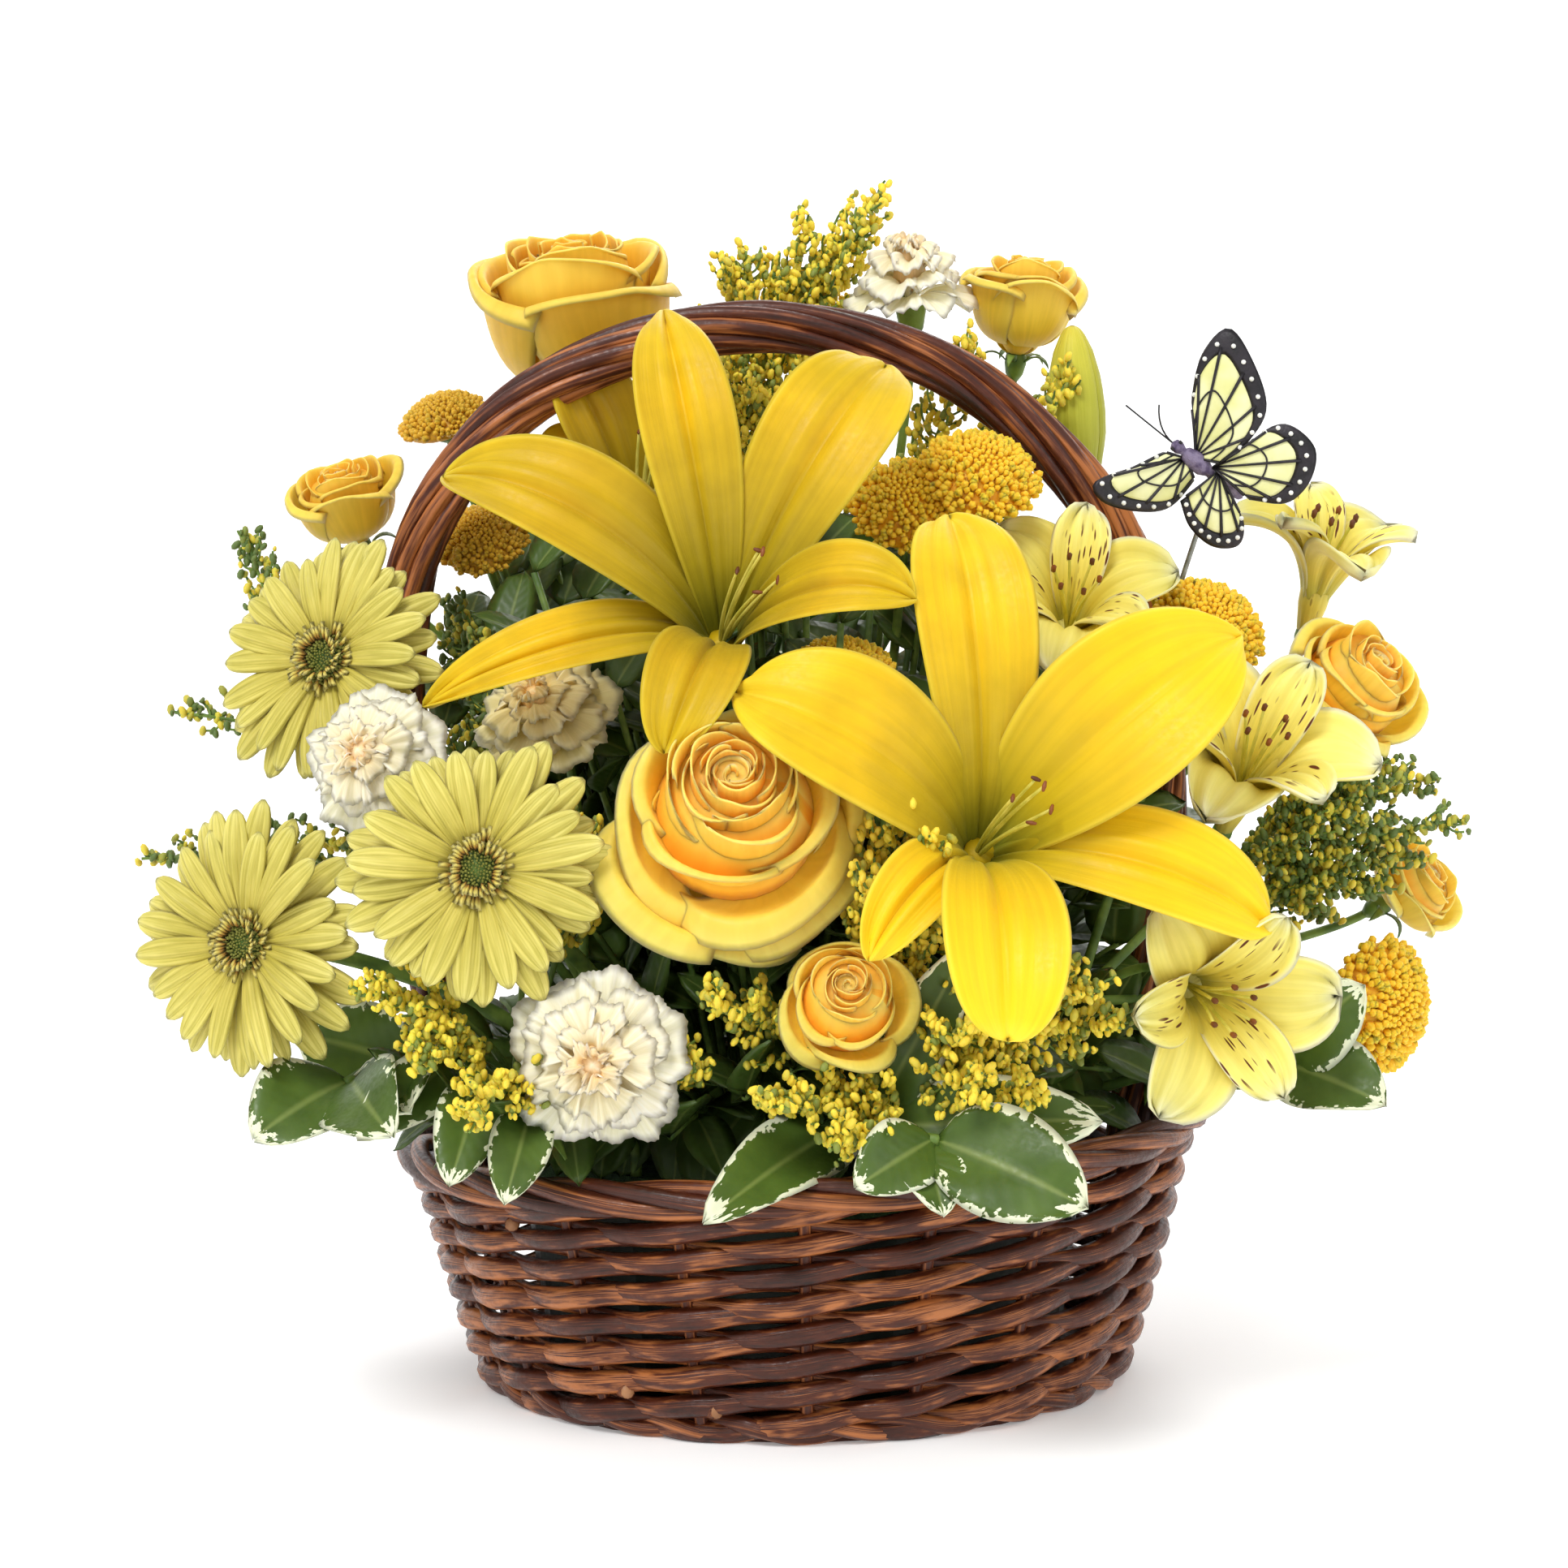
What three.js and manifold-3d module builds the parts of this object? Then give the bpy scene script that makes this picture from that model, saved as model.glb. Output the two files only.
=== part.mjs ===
// A round willow basket with a twisted hoop handle, filled with a yellow and white flower arrangement.
// Millimetres, +Z up. The origin is on the basket's axis at its underside, and the front faces -Y.
import * as THREE from "three";
import { mergeVertices } from "three/addons/utils/BufferGeometryUtils.js";
import Module from "manifold-3d";

const wasm = await Module();
wasm.setup();

// Driving dimensions of the basket
const baseRadius = 103;
const rimRadius = 122;
const weaveTop = 70;
const rimTilt = 5; // the willow is uneven: the rim's right end stands higher by this much, its left end lower
const wallThickness = 5;
const stakes = 20;
const weaveRows = 13;
const borderRadius = 6.6;
const handleRadius = 8.3;
const baseThickness = 4.5;
const gap = 0.35; // between pieces that touch
const sliver = 0.1; // surfaces may move by this much where a join leaves thin triangles

// Driving dimensions of what fills it
const linerThickness = 1.2;
const linerTop = 62;
const linerFootRadius = 80;
const linerTopRadius = 88;
const foamTop = 72;
const holeBottom = 44;
const stemSides = 4;

const UP = new THREE.Vector3(0, 0, 1);
const group = new THREE.Group();

const colours = {
  willow: [0x4f2a1c, 0.62],
  liner: [0x2c3a2c, 0.5],
  foam: [0x3f6b3d, 0.95],
  stem: [0x5f7f36, 0.6],
  lily: [0xf2c70c, 0.45],
  gerbera: [0xdfd873, 0.55],
  rose: [0xf7bf4a, 0.5],
  carnation: [0xf3ecd0, 0.6],
  mum: [0xf3a80e, 0.7],
  alstroemeria: [0xefe48d, 0.5],
  goldenrod: [0xd9b91a, 0.8],
  leaf: [0x4a6f33, 0.5],
  butterfly: [0xe9e6b4, 0.6],
  wire: [0x9a9a90, 0.4],
};

function at(x, y, z) {
  return new THREE.Vector3(x, y, z);
}

function materialOf(colour) {
  const [tint, roughness] = colours[colour];
  return new THREE.MeshStandardMaterial({ color: tint, roughness, metalness: colour === "wire" ? 0.8 : 0 });
}

// ---- Closed meshes, joins and cuts ----

function toSolid(geometry) {
  const bare = new THREE.BufferGeometry();
  bare.setAttribute("position", geometry.getAttribute("position"));
  if (geometry.index) {
    bare.setIndex(geometry.index);
  }
  const merged = mergeVertices(bare, 1e-4);
  const triVerts = [];
  for (let i = 0; i < merged.index.count; i += 3) {
    const [a, b, c] = [0, 1, 2].map((k) => merged.index.getX(i + k));
    if (a !== b && b !== c && c !== a) {
      triVerts.push(a, b, c);
    }
  }
  return new wasm.Manifold(new wasm.Mesh({
    numProp: 3,
    vertProperties: new Float32Array(merged.getAttribute("position").array),
    triVerts: new Uint32Array(triVerts),
  }));
}

function toGeometry(solid) {
  const mesh = solid.getMesh();
  const geometry = new THREE.BufferGeometry();
  geometry.setAttribute("position", new THREE.BufferAttribute(mesh.vertProperties, 3));
  geometry.setIndex(new THREE.BufferAttribute(mesh.triVerts, 1));
  geometry.computeVertexNormals();
  return geometry;
}

function unite(solids) {
  return solids.reduce((whole, solid) => whole.add(solid));
}

// Drops the slivers that joins leave, and any loose scrap
function finished(solid) {
  const bodies = solid.simplify(sliver).decompose();
  return bodies.reduce((best, body) => (body.volume() > best.volume() ? body : best));
}

function moved(solid, matrix) {
  return solid.transform(matrix.elements);
}

// Every finished piece: its solid in its own frame and the matrix that places it
const pieces = [];

function addPiece(name, colour, solid, matrix = new THREE.Matrix4()) {
  pieces.push({ name, colour, solid, matrix });
}

function facingMatrix(position, facing, spin = 0) {
  const turn = new THREE.Quaternion().setFromUnitVectors(UP, facing.clone().normalize());
  turn.multiply(new THREE.Quaternion().setFromAxisAngle(UP, spin));
  return new THREE.Matrix4().compose(position, turn, at(1, 1, 1));
}

// ---- Lofts, tubes and blades ----

// A loft joins polygons of equal point counts in turn: into a ring, or with flat ends
function loft(sections, ring = false) {
  const sides = sections[0].length;
  const positions = sections.flat().flatMap((p) => [p.x, p.y, p.z]);
  const indices = [];
  const spans = ring ? sections.length : sections.length - 1;
  for (let i = 0; i < spans; i += 1) {
    for (let j = 0; j < sides; j += 1) {
      const a = i * sides + j;
      const b = i * sides + ((j + 1) % sides);
      const c = ((i + 1) % sections.length) * sides + ((j + 1) % sides);
      const d = ((i + 1) % sections.length) * sides + j;
      indices.push(a, b, c, a, c, d);
    }
  }
  if (!ring) {
    const last = (sections.length - 1) * sides;
    for (let j = 1; j < sides - 1; j += 1) {
      indices.push(0, j + 1, j, last, last + j, last + j + 1);
    }
  }
  const geometry = new THREE.BufferGeometry();
  geometry.setAttribute("position", new THREE.Float32BufferAttribute(positions, 3));
  geometry.setIndex(indices);
  return geometry;
}

// Sections of a star outline along a curve, turning as they go
function ropeSections(curve, steps, strands, radius, groove, turns) {
  const frames = curve.computeFrenetFrames(steps, curve.closed === true);
  const sections = [];
  for (let i = 0; i <= steps; i += 1) {
    const centre = curve.getPointAt(i / steps);
    const section = [];
    for (let j = 0; j < strands * 2; j += 1) {
      const angle = (Math.PI * j) / strands + (2 * Math.PI * turns * i) / steps;
      const r = j % 2 === 0 ? radius : radius - groove;
      section.push(centre.clone()
        .addScaledVector(frames.normals[i], r * Math.cos(angle))
        .addScaledVector(frames.binormals[i], r * Math.sin(angle)));
    }
    sections.push(section);
  }
  return sections;
}

function tube(curve, radius, steps, sides = stemSides) {
  const section = new THREE.Shape();
  for (let j = 0; j < sides; j += 1) {
    const angle = (2 * Math.PI * j) / sides;
    const corner = [radius * Math.cos(angle), radius * Math.sin(angle)];
    if (j === 0) {
      section.moveTo(...corner);
    } else {
      section.lineTo(...corner);
    }
  }
  section.closePath();
  return toSolid(new THREE.ExtrudeGeometry(section, { steps, extrudePath: curve, bevelEnabled: false }));
}

// A blade's two faces meet along its sides and its tip. surface(u, v) is its middle: u from root to tip,
// v from side to side between -1 and 1.
function blade(surface, rows, columns, thickness) {
  const step = 0.02;
  const positions = [];
  for (let i = 0; i <= rows; i += 1) {
    for (let j = 0; j <= columns; j += 1) {
      const u = i / rows;
      const v = (2 * j) / columns - 1;
      const along = surface(Math.min(u + step, 1), v).sub(surface(Math.max(u - step, 0), v));
      const across = surface(u, Math.min(v + step, 1)).sub(surface(u, Math.max(v - step, -1)));
      const edge = i === rows || j === 0 || j === columns;
      const offset = across.cross(along).normalize().multiplyScalar(edge ? 0 : thickness / 2);
      const middle = surface(u, v);
      positions.push(...middle.clone().add(offset).toArray(), ...middle.clone().sub(offset).toArray());
    }
  }
  const front = (i, j) => 2 * (i * (columns + 1) + j);
  const back = (i, j) => front(i, j) + 1;
  const indices = [];
  for (let j = 0; j < columns; j += 1) {
    for (let i = 0; i < rows; i += 1) {
      indices.push(front(i, j), front(i, j + 1), front(i + 1, j + 1));
      indices.push(front(i, j), front(i + 1, j + 1), front(i + 1, j));
      indices.push(back(i, j), back(i + 1, j + 1), back(i, j + 1));
      indices.push(back(i, j), back(i + 1, j), back(i + 1, j + 1));
    }
    indices.push(front(0, j), back(0, j), back(0, j + 1), front(0, j), back(0, j + 1), front(0, j + 1));
  }
  const geometry = new THREE.BufferGeometry();
  geometry.setAttribute("position", new THREE.Float32BufferAttribute(positions, 3));
  geometry.setIndex(indices);
  return toSolid(geometry);
}

// A petal's middle line lies in the plane of the flower's axis and the way the petal points:
// line is a 2D curve of distance from the axis against height along it.
function petal(shape) {
  const { outward, axis = UP, line, halfWidth, cup = 0, ruffle = 0, folds = 0, rows, columns, thickness } = shape;
  const side = axis.clone().cross(outward);
  const surface = (u, v) => {
    const here = line.getPoint(u);
    const tangent = line.getTangent(u);
    const width = halfWidth(u);
    const lift = cup * width * v * v + ruffle * u * Math.cos(folds * Math.PI * v);
    return at(0, 0, 0)
      .addScaledVector(outward, here.x - tangent.y * lift)
      .addScaledVector(axis, here.y + tangent.x * lift)
      .addScaledVector(side, width * v);
  };
  return blade(surface, rows, columns, thickness);
}

function line2(...coordinates) {
  const points = [];
  for (let i = 0; i < coordinates.length; i += 2) {
    points.push(new THREE.Vector2(coordinates[i], coordinates[i + 1]));
  }
  const Curve = points.length === 4 ? THREE.CubicBezierCurve : THREE.QuadraticBezierCurve;
  return new Curve(...points);
}

function towards(angle) {
  return at(Math.cos(angle), Math.sin(angle), 0);
}

function turned(profile, segments, angle = 0) {
  const points = profile.map(([r, z]) => new THREE.Vector2(r, z));
  const geometry = new THREE.LatheGeometry(points, segments);
  geometry.rotateX(Math.PI / 2);
  geometry.rotateZ(angle);
  return toSolid(geometry);
}

// ---- The basket ----

function rimLift(angle) {
  return rimTilt * Math.cos(angle);
}

// Each rod of the weave passes in front of one stake and behind the next, and the rows alternate
function basketWall() {
  const outside = 2.6;
  const behind = -1;
  const groove = -1.4;
  const sections = [];
  for (let stake = 0; stake < stakes; stake += 1) {
    const angle = (2 * Math.PI * stake) / stakes;
    const top = weaveTop + rimLift(angle);
    const section = [];
    const place = (share, inset) => {
      const radius = baseRadius + (rimRadius - baseRadius) * share + inset;
      return at(radius * Math.cos(angle), radius * Math.sin(angle), top * share);
    };
    for (let row = 0; row < weaveRows; row += 1) {
      section.push(place(row / weaveRows, groove));
      section.push(place((row + 0.5) / weaveRows, (stake + row) % 2 === 0 ? outside : behind));
    }
    section.push(place(1, groove), place(1, -wallThickness), place(0, -wallThickness));
    sections.push(section.reverse());
  }
  return toSolid(loft(sections, true));
}

// Three rods rolled round the rim
function basketBorder() {
  const steps = 36;
  const strands = 3;
  const turns = 7;
  const ringRadius = rimRadius - 1;
  const sections = [];
  for (let i = 0; i < steps; i += 1) {
    const angle = (2 * Math.PI * i) / steps;
    const section = [];
    for (let j = 0; j < 2 * strands; j += 1) {
      const roll = (Math.PI * j) / strands + turns * angle;
      const r = j % 2 === 0 ? borderRadius : borderRadius - 1.6;
      const radius = ringRadius + r * Math.cos(roll);
      const height = weaveTop + gap + borderRadius + rimLift(angle) + r * Math.sin(roll);
      section.push(at(radius * Math.cos(angle), radius * Math.sin(angle), height));
    }
    sections.push(section.reverse());
  }
  return toSolid(loft(sections, true));
}

// The hoop's middle line: both legs run down inside the border, between the wall and the liner
const hoop = new THREE.CatmullRomCurve3([
  at(-97, 0, 42), at(-104.5, 0, 76), at(-115, 0, 130), at(-123, 0, 195), at(-118, 0, 254), at(-92, 0, 295),
  at(-52, 0, 318), at(-8, 0, 325), at(36, 0, 316), at(67, 0, 298), at(95, 0, 267), at(109, 0, 232),
  at(113, 0, 190), at(111, 0, 135), at(104.5, 0, 80), at(97, 0, 42),
], false, "centripetal");

function basketHandle() {
  return toSolid(loft(ropeSections(hoop, 38, 3, handleRadius, 2, 5.4)));
}

function basketBase() {
  const radius = baseRadius - wallThickness - gap;
  return turned([[0, 0], [radius, 0], [radius + 0.8, baseThickness], [0, baseThickness]], stakes);
}

function linerBowl() {
  const floor = baseThickness + gap;
  return turned([
    [0, floor], [linerFootRadius, floor], [linerTopRadius, linerTop], [linerTopRadius - linerThickness, linerTop],
    [linerFootRadius - linerThickness, floor + linerThickness], [0, floor + linerThickness],
  ], stakes);
}

// ---- The foam and its stem holes ----

const holes = [];

function foamBlock() {
  const floor = baseThickness + 2 * gap + linerThickness;
  const inset = linerThickness + gap + 0.3;
  const block = turned([
    [0, floor], [linerFootRadius - inset, floor], [linerTopRadius - inset, linerTop],
    [linerTopRadius - 8, foamTop], [0, foamTop],
  ], stakes);
  return holes.reduce((foam, { x, y, radius }) => {
    const line = new THREE.LineCurve3(at(x, y, foamTop + 1), at(x, y, holeBottom - 1));
    return foam.subtract(tube(line, (radius + 0.7) / Math.cos(Math.PI / 5), 1, 5));
  }, block);
}

// ---- Stems ----

// A stem leaves the back of its flower, then comes down steeply into its hole in the foam
function stemTo(from, facing, hole, radius, lead = 28, rise = 40, sides = stemSides) {
  const mouth = at(hole.x, hole.y, foamTop);
  const above = mouth.clone().add(at(0, 0, 6));
  const path = new THREE.CurvePath();
  path.add(new THREE.CubicBezierCurve3(
    from.clone(),
    from.clone().addScaledVector(facing, -lead),
    above.clone().add(at(0, 0, rise)),
    above,
  ));
  path.add(new THREE.LineCurve3(above, at(hole.x, hole.y, holeBottom)));
  holes.push({ x: hole.x, y: hole.y, radius });
  return tube(path, radius, 8, sides);
}

// A side branch of a spray: from the back of its flower to the fork
function branchTo(from, facing, fork, radius, lead = 16) {
  const bend = from.clone().addScaledVector(facing, -lead);
  return tube(new THREE.QuadraticBezierCurve3(from.clone(), bend, fork.clone()), radius, 4, 3);
}

// The green cup under a flower's petals; its sepals are drawn out of the rim as the points of a star
function calyx(radius, length, stemRadius, sepalLength = 0) {
  const ring = (base, height, reach, drop) => Array.from({ length: 10 }, (_, j) => {
    const point = j % 2 === 0 ? reach : 0;
    return towards((Math.PI * j) / 5).multiplyScalar(base + point).setZ(height - (point ? drop : 0));
  });
  if (sepalLength === 0) {
    return turned([[0, -length], [stemRadius, -length], [radius, -gap - 1], [0, -gap]], 5);
  }
  return toSolid(loft([
    ring(stemRadius, -length, 0, 0),
    ring(radius, -length * 0.35, sepalLength, 2),
    ring(radius * 0.8, -gap, 0, 0),
  ]));
}

// ---- Lilies ----

const lilies = {
  lily_1: {
    base: at(-22, -45, 226),
    axis: at(0.05, -0.8, 0.6).normalize(),
    tips: [[-37, -34, 327, 15], [26, -40, 310, 16], [31, -98, 246, 12], [-38, -114, 208, 13],
      [-106, -78, 222, 12], [-101, -56, 280, 16]],
  },
  lily_2: {
    base: at(51, -75, 166),
    axis: at(0.15, -0.85, 0.5).normalize(),
    tips: [[46, -66, 264, 16], [129, -84, 228, 17], [131, -106, 150, 13], [57, -158, 126, 15],
      [22, -134, 148, 10], [-14, -106, 222, 17]],
  },
};

// Six long petals leave the throat forwards, spread, and turn back at their tips
function lilyPetals({ base, axis, tips }) {
  const solids = tips.map(([x, y, z, width], k) => {
    const tip = at(x, y, z).sub(base);
    const height = tip.dot(axis);
    const radial = tip.clone().addScaledVector(axis, -height);
    const reach = radial.length();
    const root = k % 2 === 0 ? 3 : 4;
    return petal({
      outward: radial.normalize(), axis,
      line: line2(root, 5, reach * 0.18, Math.max(height, 0) * 0.4 + reach * 0.3,
        reach * 0.66, height + reach * 0.2, reach, height),
      halfWidth: (u) => width * (0.24 + 1.9 * u) * (1 - u ** 2.6),
      cup: 0.3, rows: 4, columns: 2, thickness: 1.8,
    });
  });
  const throat = orient(turned([[0, 0], [3.6, 0], [5.4, 7], [0, 8]], 6), axis);
  const filaments = [0, 1, 2].map((k) => {
    const spread = orientVector(towards(Math.PI * (k + 0.5)), axis);
    const start = axis.clone().multiplyScalar(6).addScaledVector(spread, k === 0 ? 0.4 : 2);
    const end = axis.clone().multiplyScalar(k === 0 ? 56 : 46).addScaledVector(spread, k === 0 ? 2 : 14);
    return tube(new THREE.LineCurve3(start, end), 0.8, 1, 3);
  });
  return unite([throat, ...solids, ...filaments]);
}

function orientVector(vector, axis) {
  return vector.clone().applyQuaternion(new THREE.Quaternion().setFromUnitVectors(UP, axis));
}

function orient(solid, axis) {
  return moved(solid, facingMatrix(at(0, 0, 0), axis));
}

function buildLilies() {
  const fork = at(8, -22, 150);
  const branches = [];
  for (const [name, lily] of Object.entries(lilies)) {
    addPiece(`${name}_petals`, "lily", lilyPetals(lily), new THREE.Matrix4().setPosition(lily.base));
    const seat = lily.base.clone().addScaledVector(lily.axis, -gap);
    const cup = turned([[0, -7], [2, -7], [3.6, -gap], [0, -gap]], 5);
    branches.push(moved(cup, facingMatrix(lily.base, lily.axis)));
    branches.push(branchTo(seat.clone().addScaledVector(lily.axis, -5), lily.axis, fork, 2.2, 22));
  }
  const budFoot = at(91, 32, 268);
  const budAxis = at(-0.04, -0.02, 1).normalize();
  const bud = turned([[0, 0], [4.5, 2], [8.5, 22], [7, 42], [0, 56]], 6);
  branches.push(moved(bud, facingMatrix(budFoot, budAxis)));
  branches.push(branchTo(budFoot.clone().add(at(0, 0, 3)), budAxis, fork, 2, 60));
  branches.push(stemTo(fork.clone().add(at(0, 0, 3)), at(0, 0, 1), { x: 8, y: -14 }, 3, 20, 30));
  addPiece("lily_stem", "stem", unite(branches));
}

// ---- Gerberas ----

const gerberas = {
  gerbera_1: { at: at(-139, -46, 226), facing: at(-0.42, -0.8, 0.3), radius: 38, hole: { x: -52, y: -6 } },
  gerbera_2: { at: at(-91, -110, 170), facing: at(0.02, -0.98, 0.16), radius: 38, hole: { x: -38, y: -46 } },
  gerbera_3: { at: at(-161, -73, 145), facing: at(-0.5, -0.84, 0.12), radius: 39, hole: { x: -62, y: -34 } },
};
const eyeRadius = 8.4;

// A ring under the eye; each of its outer faces is drawn out into a strap-shaped ray, high and low by turns
function gerberaRays(radius) {
  const rays = 18;
  const inner = eyeRadius + gap;
  const outer = eyeRadius + 3.2;
  const positions = [];
  const indices = [];
  const add = (r, angle, z, sideways = 0) => {
    const point = towards(angle).multiplyScalar(r).addScaledVector(towards(angle + Math.PI / 2), sideways);
    positions.push(point.x, point.y, z);
    return positions.length / 3 - 1;
  };
  const quad = (a, b, c, d) => indices.push(a, b, c, a, c, d);
  const corners = [];
  for (let k = 0; k < rays; k += 1) {
    const angle = (2 * Math.PI * (k - 0.5)) / rays;
    corners.push([add(inner, angle, 0), add(outer, angle, 0), add(outer, angle, 2.6), add(inner, angle, 3)]);
  }
  for (let k = 0; k < rays; k += 1) {
    const [innerFoot, outerFoot, outerTop, innerTop] = corners[k];
    const [nextInnerFoot, nextOuterFoot, nextOuterTop, nextInnerTop] = corners[(k + 1) % rays];
    quad(innerFoot, nextInnerFoot, nextOuterFoot, outerFoot);
    quad(outerTop, nextOuterTop, nextInnerTop, innerTop);
    quad(innerTop, nextInnerTop, nextInnerFoot, innerFoot);
    const angle = (2 * Math.PI * k) / rays;
    const high = k % 2;
    let last = [outerFoot, nextOuterFoot, nextOuterTop, outerTop];
    const stations = [[0.62, 5, 3.5 + 4 * high, 0.7], [1, 3.4, -1 + 4 * high, 0.35]];
    for (const [share, halfWidth, height, half] of stations) {
      const reach = (radius - 2 * high) * share;
      const next = [add(reach, angle, height - half), add(reach, angle, height, halfWidth),
        add(reach, angle, height + half), add(reach, angle, height, -halfWidth)];
      next.forEach((_, j) => quad(last[j], last[(j + 1) % 4], next[(j + 1) % 4], next[j]));
      last = next;
    }
    quad(...last);
  }
  const geometry = new THREE.BufferGeometry();
  geometry.setAttribute("position", new THREE.Float32BufferAttribute(positions, 3));
  geometry.setIndex(indices);
  return toSolid(geometry);
}

// The green head under the rays carries the eye, a low dome of small florets that stands up through the ring
function gerberaStem(gerbera) {
  const facing = gerbera.facing.clone().normalize();
  const rim = eyeRadius + 2;
  const head = turned([
    [0, -9], [2.6, -9], [rim, -2.5], [rim, -gap],
    [eyeRadius, -gap], [eyeRadius, 3.4], [eyeRadius * 0.6, 5.6], [0, 4.4],
  ], 7);
  const place = facingMatrix(gerbera.at, facing);
  const foot = gerbera.at.clone().addScaledVector(facing, -8);
  return unite([moved(head, place), stemTo(foot, facing, gerbera.hole, 2.4)]);
}

function buildGerberas() {
  for (const [name, gerbera] of Object.entries(gerberas)) {
    const place = facingMatrix(gerbera.at, gerbera.facing, 0.1);
    addPiece(`${name}_rays`, "gerbera", gerberaRays(gerbera.radius), place);
    addPiece(`${name}_stem`, "stem", gerberaStem(gerbera));
  }
}

// ---- Roses ----

const roses = {
  rose_1: {
    at: at(-19, -92, 174), facing: at(0.02, -0.93, 0.36), size: 1, open: 1, tall: 1, hole: { x: -6, y: -50 },
  },
  rose_2: {
    at: at(-66, 58, 304), facing: at(-0.1, -0.22, 0.97), size: 0.95, open: 0.9, tall: 1.5, hole: { x: -26, y: 30 },
  },
};
const sprayRoses = {
  spray_rose_1: { at: at(12, -110, 127), facing: at(0.05, -0.97, 0.2), size: 0.54, open: 0.9, tall: 1 },
  spray_rose_2: { at: at(-137, 24, 260), facing: at(-0.22, -0.35, 0.9), size: 0.5, open: 0.9, tall: 1.4 },
  spray_rose_3: { at: at(72, 46, 316), facing: at(0.12, -0.12, 0.98), size: 0.54, open: 0.9, tall: 1.5 },
  spray_rose_4: { at: at(163, -12, 205), facing: at(0.55, -0.6, 0.55), size: 0.6, open: 1, tall: 1.1 },
  spray_rose_5: { at: at(184, 8, 143), facing: at(0.7, -0.45, 0.5), size: 0.52, open: 1, tall: 1 },
};

// Cupped petals in rounds: each one's left side lies inside its neighbour and its right side outside
function rosePetals({ size, open, tall }, rounds) {
  const core = turned([[0, 0], [7.5, 0], [9, 6], [7.6, 16], [8.5, 36], [0, 34]], 6);
  const solids = [core];
  rounds.forEach(({ count, columns, root, reach, height, roll, turn }) => {
    for (let k = 0; k < count; k += 1) {
      const angle = (2 * Math.PI * k) / count + turn;
      const halfSpan = (Math.PI / count) * 1.25;
      const surface = (u, v) => {
        const swell = 7 + (reach * open - 7) * Math.sin((Math.PI / 2) * u) ** 0.8;
        const radius = swell * (1 + 0.08 * v) + roll * u * v * v;
        const azimuth = angle + halfSpan * v * (0.4 + 0.6 * Math.sin(0.7 * Math.PI * u));
        return towards(azimuth).multiplyScalar(radius).setZ(root + (height - root) * u - 1.8 * u * v * v);
      };
      solids.push(blade(surface, 2, columns, 1.5 / size ** 0.5));
    }
  });
  return moved(unite(solids), new THREE.Matrix4().makeScale(size, size, size * tall));
}

const fullRounds = [
  { count: 2, columns: 2, root: 15, reach: 16, height: 38, roll: 1, turn: 0.2 },
  { count: 4, columns: 2, root: 9, reach: 25, height: 33, roll: 2, turn: 0.9 },
  { count: 5, columns: 2, root: 3, reach: 34, height: 22, roll: 3, turn: 0.4 },
];
const smallRounds = [
  { count: 2, columns: 2, root: 12, reach: 19, height: 36, roll: 1, turn: 0.2 },
  { count: 4, columns: 2, root: 3, reach: 34, height: 25, roll: 3, turn: 0.8 },
];

function buildRoses() {
  for (const [name, rose] of Object.entries(roses)) {
    const facing = rose.facing.clone().normalize();
    const place = facingMatrix(rose.at, facing);
    addPiece(`${name}_petals`, "rose", rosePetals(rose, fullRounds), place);
    const foot = rose.at.clone().addScaledVector(facing, -10);
    addPiece(`${name}_stem`, "stem", unite([
      moved(calyx(6, 12, 2.8, 12), place), stemTo(foot, facing, rose.hole, 2.8),
    ]));
  }
  for (const [name, rose] of Object.entries(sprayRoses)) {
    addPiece(`${name}_petals`, "rose", rosePetals(rose, smallRounds), facingMatrix(rose.at, rose.facing));
  }
  sprayStem("spray_rose_stem_front", [sprayRoses.spray_rose_1], at(6, -66, 112), { x: 10, y: -60 }, 3.6, 8, 8);
  sprayStem("spray_rose_stem_back", [sprayRoses.spray_rose_2, sprayRoses.spray_rose_3], at(-10, 44, 160),
    { x: -8, y: 38 }, 3.6, 8, 8);
  sprayStem("spray_rose_stem_right", [sprayRoses.spray_rose_4, sprayRoses.spray_rose_5], at(98, 22, 118),
    { x: 58, y: 12 }, 3.6, 8, 8);
}

// One stem with a fork that carries several flowers of a spray, each with its calyx
function sprayStem(name, flowers, fork, hole, calyxRadius = 0, calyxLength = 1 + gap, sepalLength = 0) {
  const parts = flowers.flatMap((flower) => {
    const facing = flower.facing.clone().normalize();
    const foot = flower.at.clone().addScaledVector(facing, -calyxLength + 1);
    const branch = branchTo(foot, facing, fork, 1.6, 20);
    if (calyxRadius === 0) {
      return [branch];
    }
    return [moved(calyx(calyxRadius, calyxLength, 1.4, sepalLength), facingMatrix(flower.at, facing)), branch];
  });
  parts.push(stemTo(fork.clone().add(at(0, 0, 2)), UP, hole, 2.2, 12, 14, 3));
  addPiece(name, "stem", unite(parts));
}

// ---- Carnations ----

const carnations = {
  carnation_1: { at: at(-123, -78, 199), facing: at(-0.3, -0.9, 0.3), radius: 22 },
  carnation_2: { at: at(-57, -114, 116), facing: at(-0.12, -0.98, 0.05), radius: 26 },
  carnation_3: { at: at(-74, -52, 208), facing: at(-0.3, -0.6, 0.7), radius: 23 },
  carnation_4: { at: at(38, 34, 334), facing: at(-0.02, -0.2, 0.98), radius: 18 },
  carnation_5: { at: at(2, 34, 292), facing: at(0, -0.5, 0.87), radius: 16 },
};

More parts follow.
